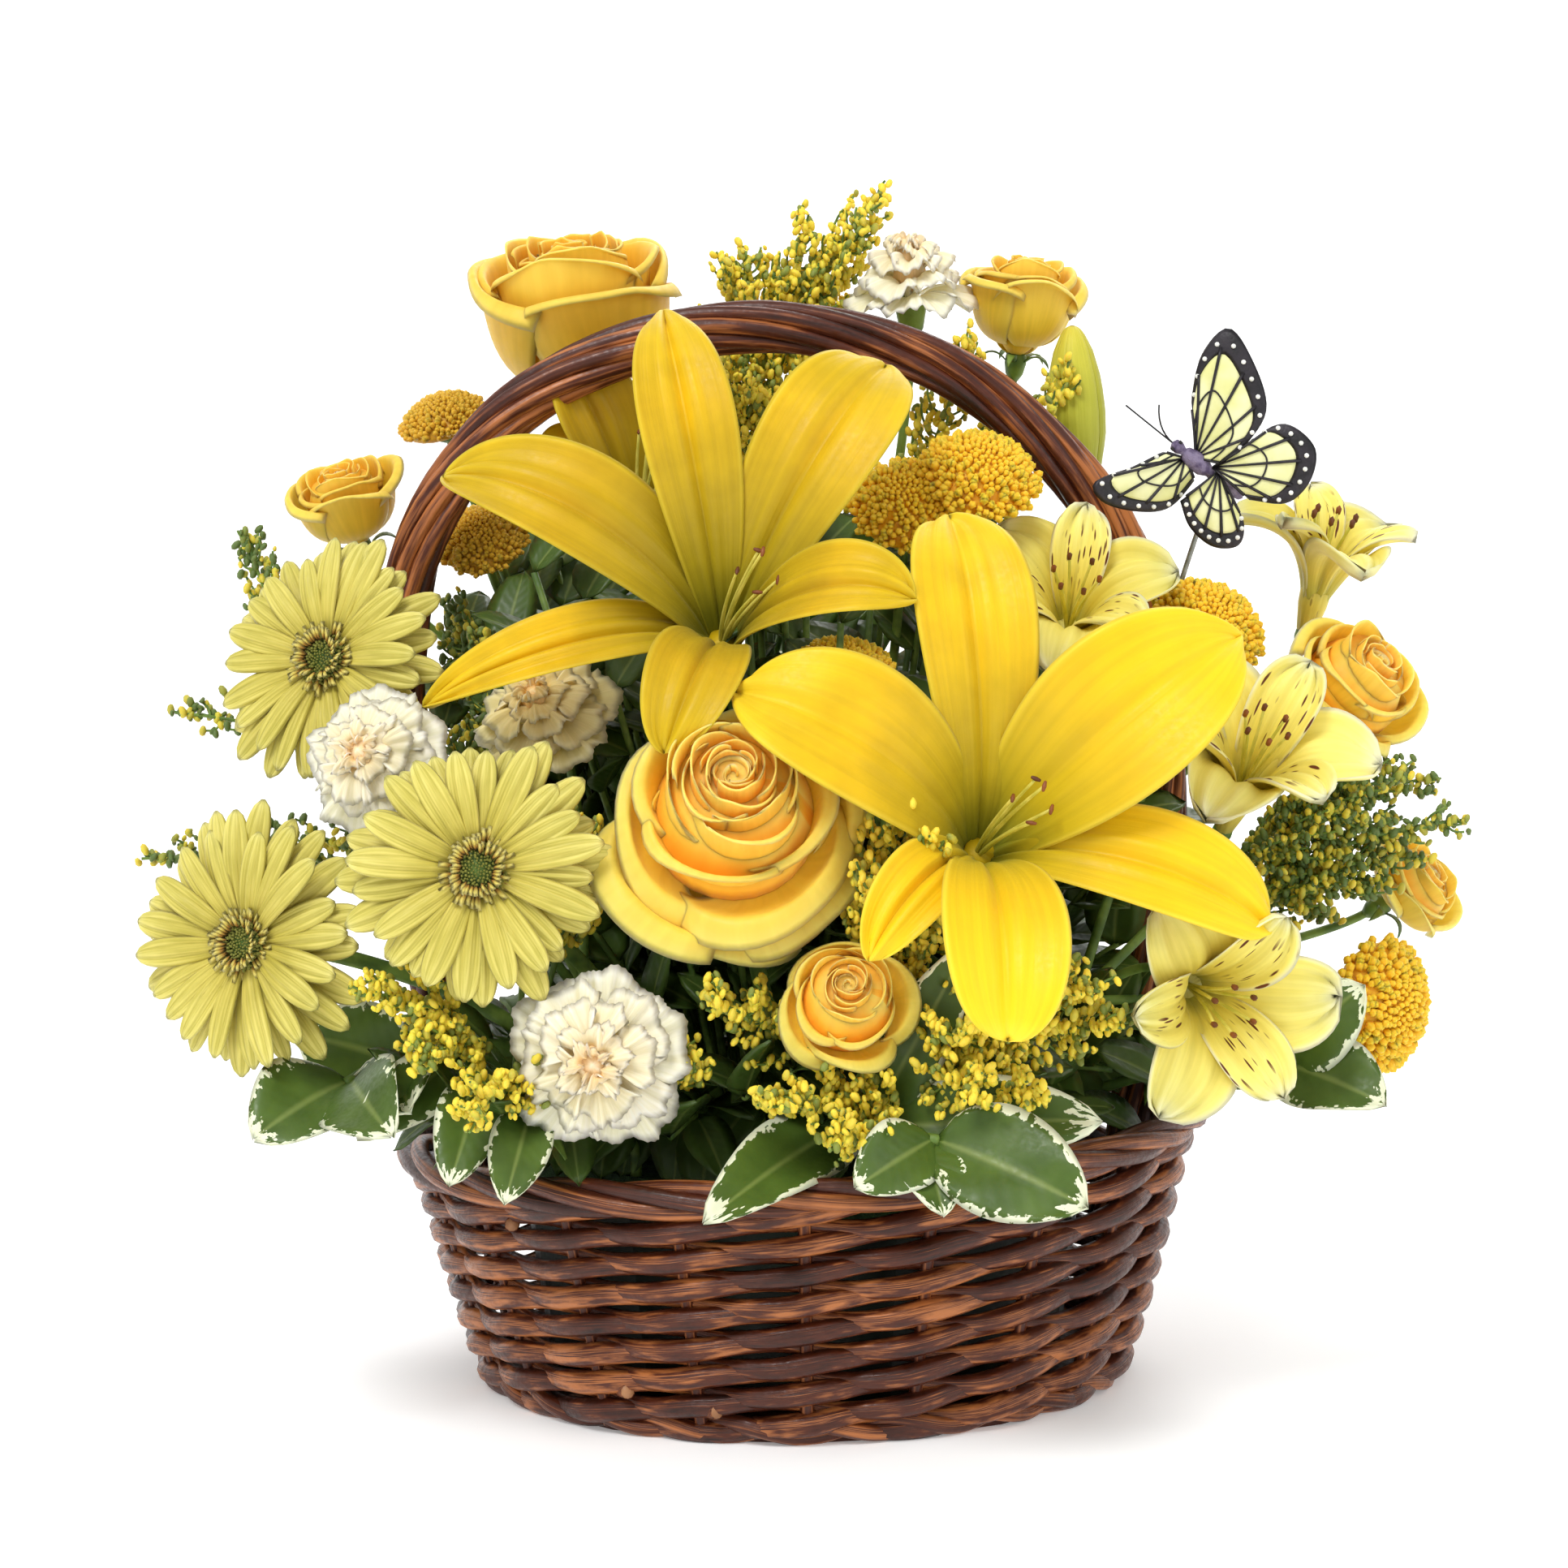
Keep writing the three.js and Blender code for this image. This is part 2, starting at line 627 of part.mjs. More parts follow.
// Fan-shaped petals with ruffled ends in three ranks round a small middle
function carnationPetals(radius) {
  const ranks = [
    { count: 5, tilt: 0.1, reach: 1, turn: 0 },
    { count: 3, tilt: 0.62, reach: 0.9, turn: 0.5 },
    { count: 1, tilt: 1.2, reach: 0.8, turn: 0.2 },
  ];
  const middle = turned([[0, 0], [4.4, 0], [5.5, 6], [4, 11], [0, 13]], 6);
  const solids = [middle];
  for (const { count, tilt, reach, turn } of ranks) {
    for (let k = 0; k < count; k += 1) {
      const length = radius * reach;
      const spread = Math.min((Math.PI / count) * length * Math.cos(tilt) * 0.98, length * 0.5);
      solids.push(petal({
        outward: towards((2 * Math.PI * k) / count + turn),
        line: line2(4.2, 3 + tilt * 6, length * 0.5 * Math.cos(tilt), 5 + length * 0.5 * Math.sin(tilt) + 3,
          length * Math.cos(tilt), 5 + length * Math.sin(tilt) - 2),
        halfWidth: (u) => spread * (0.14 + 0.86 * u),
        ruffle: radius * 0.1, folds: 1.5, rows: 1, columns: 3, thickness: 1.8,
      }));
    }
  }
  return unite(solids);
}

function buildCarnations() {
  for (const [name, carnation] of Object.entries(carnations)) {
    addPiece(`${name}_petals`, "carnation", carnationPetals(carnation.radius),
      facingMatrix(carnation.at, carnation.facing));
  }
  sprayStem("carnation_stem_front", [carnations.carnation_1, carnations.carnation_2, carnations.carnation_3],
    at(-66, -34, 122), { x: -30, y: -24 }, 4.4, 12);
  sprayStem("carnation_stem_back", [carnations.carnation_4, carnations.carnation_5], at(18, 28, 190),
    { x: 8, y: 16 }, 4.4, 12);
}

// ---- Button chrysanthemums ----

const mums = {
  mum_1: { at: at(34, -22, 268), facing: at(0, -0.78, 0.62), radius: 17.5 },
  mum_2: { at: at(56, -22, 276), facing: at(0.15, -0.66, 0.74), radius: 19 },
  mum_3: { at: at(124, -22, 229), facing: at(0.25, -0.75, 0.6), radius: 18.5 },
  mum_4: { at: at(172, -40, 118), facing: at(0.8, -0.58, 0), radius: 20 },
  mum_5: { at: at(-110, 34, 296), facing: at(-0.25, -0.4, 0.88), radius: 14 },
  mum_6: { at: at(-98, 24, 258), facing: at(-0.1, -0.7, 0.7), radius: 14 },
  mum_7: { at: at(13, -42, 218), facing: at(0, -0.45, 0.9), radius: 17 },
};

// A low dome of short florets: its points stand out and in by turns
function mumDome(radius) {
  const columns = 10;
  const polar = [0.35, 0.68, 1, 1.32, 1.68];
  const height = radius * 0.62;
  const sections = polar.map((angle, i) => {
    const section = [];
    for (let j = 0; j < columns; j += 1) {
      const stand = (i + j) % 2 === 0 ? 1.06 : 0.86;
      const turn = (2 * Math.PI * j) / columns;
      const r = radius * Math.sin(angle) * stand;
      section.push(at(r * Math.cos(turn), r * Math.sin(turn), height * 0.3 + height * Math.cos(angle) * stand));
    }
    return section;
  });
  const foot = Array.from({ length: columns }, (_, j) => (
    towards((2 * Math.PI * j) / columns).multiplyScalar(radius * 0.3)
  ));
  return toSolid(loft([...sections, foot].reverse()));
}

function buildMums() {
  const [first, second] = [mums.mum_1, mums.mum_2].map((mum) => (
    moved(mumDome(mum.radius), facingMatrix(mum.at, mum.facing))
  ));
  addPiece("mum_1_2_heads", "mum", first.add(second));
  for (const [name, mum] of Object.entries(mums).slice(2)) {
    addPiece(`${name}_head`, "mum", mumDome(mum.radius), facingMatrix(mum.at, mum.facing));
  }
  sprayStem("mum_stem_centre", [mums.mum_1, mums.mum_2, mums.mum_7], at(24, -4, 168), { x: 24, y: 6 });
  sprayStem("mum_stem_right", [mums.mum_3, mums.mum_4], at(84, -26, 118), { x: 52, y: -22 });
  sprayStem("mum_stem_left", [mums.mum_5, mums.mum_6], at(-62, 24, 176), { x: -40, y: 16 });
}

// ---- Alstroemeria ----

const alstroemerias = {
  alstroemeria_1: { at: at(82, -12, 222), facing: at(0.05, -0.72, 0.65), spin: 0.3, length: 44 },
  alstroemeria_2: { at: at(128, -40, 172), facing: at(0.2, -0.66, 0.72), spin: 0.1, length: 44 },
  alstroemeria_3: { at: at(109, -80, 136), facing: at(0.3, -0.93, -0.1), spin: 0.5, length: 46 },
  alstroemeria_4: { at: at(160, 14, 228), facing: at(0.2, -0.28, 0.93), spin: 0.8, length: 42 },
};

// Three broad outer petals and three narrower inner ones leave a short trumpet
function alstroemeriaPetals(length) {
  const solids = [turned([[0, 0], [3, 0], [5.4, 15], [0, 17]], 6)];
  for (let k = 0; k < 6; k += 1) {
    const inner = k % 2;
    const width = inner ? 7.5 : 12;
    solids.push(petal({
      outward: towards((Math.PI * k) / 3),
      line: line2(4, 12 + inner, 5, length * 0.6, length * 0.42, length * 0.86, length * (inner ? 0.62 : 0.72),
        length * (inner ? 0.9 : 0.7)),
      halfWidth: (u) => width * (0.2 + 1.4 * u) * (1 - u ** 4) * 0.85,
      cup: 0.25, rows: 3, columns: 2, thickness: 1.6,
    }));
  }
  return unite(solids);
}

function buildAlstroemerias() {
  for (const [name, flower] of Object.entries(alstroemerias)) {
    addPiece(`${name}_petals`, "alstroemeria", alstroemeriaPetals(flower.length),
      facingMatrix(flower.at, flower.facing, flower.spin));
  }
  const [first, second, third, fourth] = Object.values(alstroemerias);
  sprayStem("alstroemeria_stem_centre", [first, fourth], at(74, 16, 150), { x: 40, y: 20 }, 3, 7);
  sprayStem("alstroemeria_stem_right", [second, third], at(78, -42, 116), { x: 36, y: -38 }, 3, 7);
}

// ---- Goldenrod ----

// A twig that is bare up to a share of its length; beyond it, clusters of flower heads swell to three sides
function beadedTwig(curve, bareShare, beads, beadRadius) {
  const sides = 3;
  const shares = [0, bareShare * 0.5];
  const swings = [null, null];
  for (let i = 0; i <= 2 * beads; i += 1) {
    shares.push(bareShare + ((1 - bareShare) * i) / (2 * beads));
    swings.push(i % 2 === 0 ? null : (Math.PI / 3) * i);
  }
  const across = new THREE.Vector3().crossVectors(curve.getTangent(1), at(0.1, 0.3, 1)).normalize();
  const sections = shares.map((share, i) => {
    const other = curve.getTangent(share).cross(across).normalize();
    const bare = swings[i] === null;
    const radius = bare ? 0.9 : beadRadius;
    const centre = curve.getPoint(share);
    if (!bare) {
      centre.addScaledVector(across, beadRadius * 0.7 * Math.cos(swings[i]));
      centre.addScaledVector(other, beadRadius * 0.7 * Math.sin(swings[i]));
    }
    return Array.from({ length: sides }, (_, j) => {
      const angle = (2 * Math.PI * j) / sides;
      return centre.clone()
        .addScaledVector(across, radius * Math.cos(angle))
        .addScaledVector(other, radius * Math.sin(angle));
    });
  });
  return toSolid(loft(sections));
}

// Each spray: its hole, its fork, and its plumes as tip and, where it must pass a flower, the point it bends by
const goldenrods = {
  goldenrod_top: {
    hole: { x: 0, y: 54 }, fork: at(-14, 52, 200),
    plumes: [
      [[30, 42, 367], [-2, 54, 350]], [[-22, 36, 344]], [[-26, 22, 312]], [[56, 17, 322], [40, 10, 262]],
    ],
  },
  goldenrod_left: {
    hole: { x: -56, y: 14 }, fork: at(-92, 22, 140),
    plumes: [
      [[-171, 12, 264], [-164, 14, 220]], [[-194, 6, 208]], [[-203, -10, 164]], [[-108, 19, 238]],
    ],
  },
  goldenrod_front_left: {
    hole: { x: -50, y: -58 }, fork: at(-84, -82, 104),
    plumes: [[[-126, -106, 134]], [[-92, -134, 104]]],
  },
  goldenrod_front: {
    hole: { x: 34, y: -62 }, fork: at(40, -86, 100),
    plumes: [
      [[-10, -138, 106], [14, -104, 100]], [[48, -138, 108]], [[84, -118, 134]],
      [[28, -108, 188], [18, -92, 150]], [[-27, -120, 134], [0, -94, 118]],
    ],
  },
  goldenrod_right: {
    hole: { x: 60, y: -12 }, fork: at(112, -22, 118),
    plumes: [[[204, -26, 172]], [[186, -30, 186]], [[180, -32, 154]]],
  },
};

// A plume rises, then arches over; its end carries the flower heads
function goldenrodSpray({ hole, fork, plumes }) {
  const solids = [stemTo(fork.clone().add(at(0, 0, 2)), UP, hole, 1.8, 10, 12, 3)];
  plumes.forEach(([tipPoint, bendPoint]) => {
    const tip = at(...tipPoint);
    const way = tip.clone().sub(fork);
    const bend = bendPoint ? at(...bendPoint) : fork.clone().add(at(way.x * 0.3, way.y * 0.3, way.z * 0.8 + 6));
    const main = new THREE.QuadraticBezierCurve3(fork.clone(), bend, tip);
    solids.push(beadedTwig(main, 0.62, 5, 4.2));
  });
  return unite(solids);
}

function buildGoldenrods() {
  for (const [name, spray] of Object.entries(goldenrods)) {
    addPiece(name, "goldenrod", goldenrodSpray(spray));
  }
}

// ---- Pittosporum ----

// A leaf arches from its foot to its tip, folded a little along the rib, with a waved edge
function leaf(foot, tip, facing, halfWidth) {
  const way = tip.clone().sub(foot);
  const side = way.clone().cross(facing).normalize();
  const face = side.clone().cross(way).normalize();
  const length = way.length();
  const surface = (u, v) => {
    const width = u === 1 ? 0 : 0.9 + (halfWidth - 0.9) * Math.sin(Math.PI * u ** 0.85) ** 0.8;
    const lift = length * 0.32 * u * (1 - u) + width * 0.16 * v * v + 0.9 * v * v * Math.cos(5 * Math.PI * u);
    return foot.clone()
      .addScaledVector(way, u)
      .addScaledVector(side, width * v)
      .addScaledVector(face, lift);
  };
  return blade(surface, 3, 2, 1.6);
}

// Each twig: its hole, the points it passes, and its leaves as point on the twig, tip and half width
const pittosporums = {
  pittosporum_left: {
    hole: { x: -66, y: -14 }, path: [at(-92, -30, 96), at(-122, -50, 106), at(-134, -76, 104)],
    leaves: [
      [2, [-158, -100, 92], 14], [1, [-112, -106, 100], 13],
      [2, [-116, -122, 96], 13], [1, [-152, -34, 112], 13],
    ],
  },
  pittosporum_front: {
    hole: { x: 14, y: -38 }, path: [at(14, -84, 92), at(20, -112, 94), at(38, -128, 94)],
    leaves: [
      [2, [78, -148, 78], 15], [2, [14, -144, 84], 9], [1, [84, -124, 98], 12],
      [0, [-28, -150, 76], 11], [2, [38, -146, 76], 9], [1, [48, -112, 148], 9],
    ],
  },
  pittosporum_right: {
    hole: { x: 64, y: -26 }, path: [at(100, -40, 96), at(126, -56, 100), at(140, -60, 104)],
    leaves: [
      [2, [170, -84, 94], 13], [2, [166, -70, 128], 12], [1, [150, -30, 110], 13], [1, [118, -96, 104], 12],
    ],
  },
  pittosporum_back: {
    hole: { x: 16, y: 60 }, path: [at(20, 86, 120), at(16, 104, 170), at(6, 96, 230)],
    leaves: [
      [0, [62, 118, 118], 14], [0, [-24, 124, 122], 14], [1, [58, 110, 190], 14],
      [1, [-28, 112, 196], 14], [2, [34, 92, 262], 13], [2, [-26, 88, 256], 13],
    ],
  },
};

function pittosporumTwig({ hole, path, leaves }) {
  holes.push({ x: hole.x, y: hole.y, radius: 1.8 });
  const mouth = at(hole.x, hole.y, foamTop + 5);
  const start = mouth.clone().add(at(0, 0, -3));
  const route = new THREE.CatmullRomCurve3([start, mouth, ...path], false, "centripetal");
  const foot = new THREE.LineCurve3(mouth, at(hole.x, hole.y, holeBottom));
  const solids = [tube(route, 1.8, 6, 4), tube(foot, 2, 1, 4)];
  leaves.forEach(([index, tip, halfWidth], k) => {
    const end = at(...tip);
    const node = path[index].clone().lerp(index > 0 ? path[index - 1] : mouth, 0.05 + 0.045 * k);
    const outside = end.clone().setZ(0).normalize().multiplyScalar(0.7).add(UP);
    solids.push(leaf(node, end, outside.normalize(), halfWidth));
  });
  return unite(solids);
}

function buildPittosporums() {
  for (const [name, twig] of Object.entries(pittosporums)) {
    addPiece(name, "leaf", pittosporumTwig(twig));
  }
}

// ---- The butterfly on its wire ----

const butterfly = { head: at(117, -22, 286), tail: at(136, -17, 271) };
// Wing outlines seen from the front, as x and z of the root and of the corners; sweep brings the wing forward
const wings = [
  {
    root: [122, 283], sweep: -0.35,
    outline: [[121, 300], [124, 314], [132, 322], [139, 312], [143, 298], [138, 288], [130, 281]],
  },
  {
    root: [127, 280], sweep: -0.3,
    outline: [[138, 287], [148, 293], [157, 286], [156, 276], [149, 269], [138, 270]],
  },
  {
    root: [119, 283], sweep: 0.5,
    outline: [[112, 285], [101, 280], [90, 276], [93, 270], [104, 267], [114, 268], [122, 276]],
  },
  {
    root: [129, 279], sweep: 0.25,
    outline: [[117, 270], [120, 262], [127, 256], [135, 256], [137, 262], [133, 270]],
  },
];

function wing({ root, outline, sweep }) {
  const corners = [root, ...outline].map(([x, z]) => new THREE.Vector2(x - root[0], z - root[1]));
  const shape = new THREE.Shape(corners);
  const geometry = new THREE.ExtrudeGeometry(shape, { depth: 0.8, bevelEnabled: false });
  geometry.rotateX(Math.PI / 2);
  const raise = new THREE.Matrix4().makeShear(sweep, 0, 0, 0, 0, 0);
  geometry.applyMatrix4(raise);
  geometry.translate(root[0], -20, root[1]);
  return toSolid(geometry);
}

function buildButterfly() {
  const way = butterfly.tail.clone().sub(butterfly.head);
  const length = way.length();
  const body = turned([[0, 0], [1.6, 2], [2.2, 7], [1.3, length - 2], [0, length]], 5);
  const bodyMatrix = facingMatrix(butterfly.head, way);
  addPiece("butterfly", "butterfly", unite([moved(body, bodyMatrix), ...wings.map(wing)]));
  const clip = butterfly.head.clone().addScaledVector(way, 0.6).add(at(0, 3.2, 0));
  const hole = { x: 52, y: 8 };
  holes.push({ x: hole.x, y: hole.y, radius: 0.7 });
  const mouth = at(hole.x, hole.y, foamTop + 2);
  const route = new THREE.CatmullRomCurve3([
    mouth.clone().add(at(0, 0, -2)), mouth, at(100, -14, 190), at(120, -12, 250), clip,
  ], false, "centripetal");
  const foot = new THREE.LineCurve3(mouth, at(hole.x, hole.y, holeBottom));
  addPiece("butterfly_wire", "wire", unite([tube(route, 0.8, 10, 3), tube(foot, 0.9, 1, 3)]));
}

// ---- Everything in place ----

addPiece("basket_base", "willow", basketBase());
addPiece("basket_wall", "willow", basketWall());
addPiece("basket_border", "willow", basketBorder());
addPiece("basket_handle", "willow", basketHandle());
addPiece("liner_bowl", "liner", linerBowl());
buildButterfly();
buildLilies();
buildGerberas();
buildRoses();
buildCarnations();
buildMums();
buildAlstroemerias();
buildGoldenrods();
buildPittosporums();
addPiece("foam", "foam", foamBlock());

for (const { name, colour, solid, matrix } of pieces) {
  const mesh = new THREE.Mesh(toGeometry(finished(solid)), materialOf(colour));
  mesh.name = name;
  mesh.applyMatrix4(matrix);
  group.add(mesh);
}

export default group;
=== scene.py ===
import bpy
import math
import random
import numpy as np
from mathutils import Matrix, Quaternion, Vector


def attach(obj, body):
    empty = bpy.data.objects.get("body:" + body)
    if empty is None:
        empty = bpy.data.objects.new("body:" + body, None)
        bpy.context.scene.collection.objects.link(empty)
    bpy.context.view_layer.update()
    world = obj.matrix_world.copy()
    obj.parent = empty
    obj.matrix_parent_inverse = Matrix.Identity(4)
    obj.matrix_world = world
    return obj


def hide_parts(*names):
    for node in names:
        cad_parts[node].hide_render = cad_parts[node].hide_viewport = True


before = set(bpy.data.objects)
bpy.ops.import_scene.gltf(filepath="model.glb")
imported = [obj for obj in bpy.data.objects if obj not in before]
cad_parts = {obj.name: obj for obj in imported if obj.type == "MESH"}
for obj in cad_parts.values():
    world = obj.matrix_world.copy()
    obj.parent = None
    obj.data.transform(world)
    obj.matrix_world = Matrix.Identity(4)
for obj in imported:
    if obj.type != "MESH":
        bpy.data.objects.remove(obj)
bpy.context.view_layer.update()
mm = 0.001  # flowers are drawn in millimetres and made in metres
up = Vector((0, 0, 1))
golden = math.pi * (3 - math.sqrt(5))  # the turn from one floret or spray to the next


def newObject(name, data):
    made = bpy.data.objects.new(name, data)
    bpy.context.scene.collection.objects.link(made)
    return made



# ---- camera, at the photograph's viewing angle ----

cameraView = {"at": (-4.2, -1200, 290), "aim": (-4.2, 0, 183.5), "lens": 88.9, "sensor": 36, "roll": 0.8}
cameraData = bpy.data.cameras.new("camera")
cameraData.lens = cameraView["lens"]
cameraData.sensor_width = cameraView["sensor"]
camera = newObject("camera", cameraData)
camera.location = Vector(cameraView["at"]) * mm
look = (Vector(cameraView["aim"]) - Vector(cameraView["at"])).to_track_quat("-Z", "Y")
camera.rotation_mode = "QUATERNION"
camera.rotation_quaternion = look @ Quaternion((0, 0, 1), math.radians(-cameraView["roll"]))
bpy.context.scene.camera = camera
print("camera ready")

# ---- node trees ----


def put(tree, kind, inputs=None, **settings):
    made = tree.nodes.new(kind)
    for key, value in settings.items():
        setattr(made, key, value)
    for key, value in (inputs or {}).items():
        socket = made.inputs[key]
        if isinstance(value, bpy.types.NodeSocket):
            tree.links.new(value, socket)
        else:
            socket.default_value = value
    return made


def calc(tree, operation, a, b=0.0, c=0.0):
    return put(tree, "ShaderNodeMath", {0: a, 1: b, 2: c}, operation=operation).outputs[0]


def blendColour(tree, factor, a, b, mode="MIX"):
    mix = put(tree, "ShaderNodeMix", {0: factor, 6: a, 7: b}, data_type="RGBA", blend_type=mode)
    return mix.outputs[2]


def remap(tree, value, low, high, toLow=0.0, toHigh=1.0):
    inputs = {0: value, 1: low, 2: high, 3: toLow, 4: toHigh}
    return put(tree, "ShaderNodeMapRange", inputs, interpolation_type="SMOOTHSTEP").outputs[0]


def srgb(red, green, blue):
    linear = [((c / 255 + 0.055) / 1.055) ** 2.4 if c > 10 else c / 255 / 12.92 for c in (red, green, blue)]
    return (*linear, 1.0)


def attribute(tree, name):
    return put(tree, "ShaderNodeAttribute", attribute_name=name).outputs["Fac"]


# ---- shader groups that several finishes share ----


def shaderGroup(name, inputs, outputs):
    group = bpy.data.node_groups.new(name, "ShaderNodeTree")
    for label, value in inputs.items():
        group.interface.new_socket(label, in_out="INPUT", socket_type="NodeSocketFloat").default_value = value
    for label in outputs:
        group.interface.new_socket(label, in_out="OUTPUT", socket_type="NodeSocketFloat")
    return group, group.nodes.new("NodeGroupInput").outputs, group.nodes.new("NodeGroupOutput").inputs


def makeMottleGroup():  # soft patches and fine grain over the object's own space
    group, given, out = shaderGroup("mottle", {"Scale": 60.0, "Grain": 8.0}, ["Patches", "Fine"])
    place = put(group, "ShaderNodeTexCoord").outputs["Object"]
    patches = put(group, "ShaderNodeTexNoise", {"Vector": place, "Scale": given["Scale"], "Detail": 3.0})
    fineScale = calc(group, "MULTIPLY", given["Scale"], given["Grain"])
    fine = put(group, "ShaderNodeTexNoise", {"Vector": place, "Scale": fineScale, "Detail": 4.0})
    group.links.new(patches.outputs[0], out["Patches"])
    group.links.new(fine.outputs[0], out["Fine"])
    return group


def makeVeinGroup():  # lines that run from a petal's or leaf's foot to its tip
    group, given, out = shaderGroup("veins", {"Lines": 12.0}, ["Lines", "Rib", "Rim", "Soft"])
    along, across, shade = (attribute(group, name) for name in ("along", "across", "shade"))
    column = calc(group, "MULTIPLY", across, given["Lines"])
    row = calc(group, "MULTIPLY", along, 1.6)
    place = put(group, "ShaderNodeCombineXYZ", {0: column, 1: row, 2: calc(group, "MULTIPLY", shade, 40.0)})
    lines = put(group, "ShaderNodeTexNoise", {"Vector": place.outputs[0], "Scale": 1.0, "Detail": 2.0})
    group.links.new(lines.outputs[0], out["Lines"])
    group.links.new(remap(group, calc(group, "ABSOLUTE", across), 0.0, 0.12, 1.0, 0.0), out["Rib"])
    edge = calc(group, "MAXIMUM", calc(group, "ABSOLUTE", across), along)
    group.links.new(remap(group, edge, 0.87, 1.0), out["Rim"])
    group.links.new(remap(group, edge, 0.4, 1.0), out["Soft"])
    return group


mottle = makeMottleGroup()
veins = makeVeinGroup()


def useGroup(tree, group, **values):
    return put(tree, "ShaderNodeGroup", {key.title(): value for key, value in values.items()}, node_tree=group).outputs


def newMaterial(name):
    material = bpy.data.materials.new(name)
    material.use_nodes = True
    tree = material.node_tree
    return material, tree, tree.nodes["Principled BSDF"]


def addBump(tree, skin, strength, distance, height):
    bump = put(tree, "ShaderNodeBump", {"Strength": strength, "Distance": distance, "Height": height})
    tree.links.new(bump.outputs[0], skin.inputs["Normal"])


def addRoughness(tree, skin, grain, smooth, coarse):  # the roughness follows the fine grain
    tree.links.new(remap(tree, grain, 0.3, 0.7, smooth, coarse), skin.inputs["Roughness"])


def addScatter(skin, weight):  # light that spreads a little under the surface
    skin.inputs["Subsurface Weight"].default_value = weight
    skin.inputs["Subsurface Scale"].default_value = 0.002


def ramp(tree, value, stops):
    made = put(tree, "ShaderNodeValToRGB", {0: value})
    elements = made.color_ramp.elements
    while len(elements) < len(stops):
        elements.new(0.5)
    for element, (position, colour) in zip(elements, stops):
        element.position = position
        element.color = colour
    return made.outputs[0]


def petalFinish(name, stops, rim, spot=None, lines=14.0, relief=0.35, rough=0.5, glow=0.12, by="along", rimShare=0.7,
                soft=0.0, shadeRange=0.22, streak=0.07):
    material, tree, skin = newMaterial(name)
    vein = useGroup(tree, veins, lines=lines)
    patch = useGroup(tree, mottle, scale=70.0, grain=9.0)
    colour = ramp(tree, attribute(tree, by), stops)
    colour = blendColour(tree, calc(tree, "MULTIPLY", vein["Soft"], soft), colour, rim)
    colour = blendColour(tree, calc(tree, "MULTIPLY", vein["Rim"], rimShare), colour, rim)
    shade = calc(tree, "ADD", attribute(tree, "shade"), calc(tree, "MULTIPLY", patch["Patches"], 0.8))
    level = remap(tree, shade, 0.2, 1.5, 1 - shadeRange, 1 + shadeRange * 0.4)
    level = calc(tree, "MULTIPLY", level, remap(tree, vein["Lines"], 0.3, 0.7, 1 - streak, 1 + streak * 0.4))
    grey = put(tree, "ShaderNodeCombineColor", {0: level, 1: level, 2: calc(tree, "MULTIPLY", level, level)})
    colour = blendColour(tree, 1.0, colour, grey.outputs[0], "MULTIPLY")
    if spot:  # dark flecks on the petals that carry them
        flecks = put(tree, "ShaderNodeCombineXYZ", {
            0: calc(tree, "MULTIPLY", attribute(tree, "across"), spot["across"]),
            1: calc(tree, "MULTIPLY", attribute(tree, "along"), spot["along"]),
            2: calc(tree, "MULTIPLY", attribute(tree, "shade"), 30.0)})
        cells = put(tree, "ShaderNodeTexVoronoi", {"Vector": flecks.outputs[0], "Scale": 1.0}).outputs[0]
        zone = calc(tree, "MULTIPLY", remap(tree, attribute(tree, "along"), 0.25, 0.45),
                    remap(tree, attribute(tree, "along"), 0.72, 0.9, 1.0, 0.0))
        zone = calc(tree, "MULTIPLY", zone, remap(tree, attribute(tree, "depth"), 0.4, 0.6))
        mask = calc(tree, "MULTIPLY", remap(tree, cells, 0.2, 0.3, 1.0, 0.0), zone)
        colour = blendColour(tree, mask, colour, spot["colour"])
    tree.links.new(colour, skin.inputs["Base Color"])
    height = calc(tree, "ADD", vein["Lines"], calc(tree, "MULTIPLY", patch["Fine"], 0.15))
    addBump(tree, skin, relief, 0.0006, height)
    addRoughness(tree, skin, patch["Fine"], rough - 0.07, rough + 0.08)
    addScatter(skin, glow)
    skin.inputs["Subsurface Radius"].default_value = (1.0, 0.85, 0.6)
    skin.inputs["Sheen Weight"].default_value = 0.04
    skin.inputs["Specular IOR Level"].default_value = 0.3
    return material


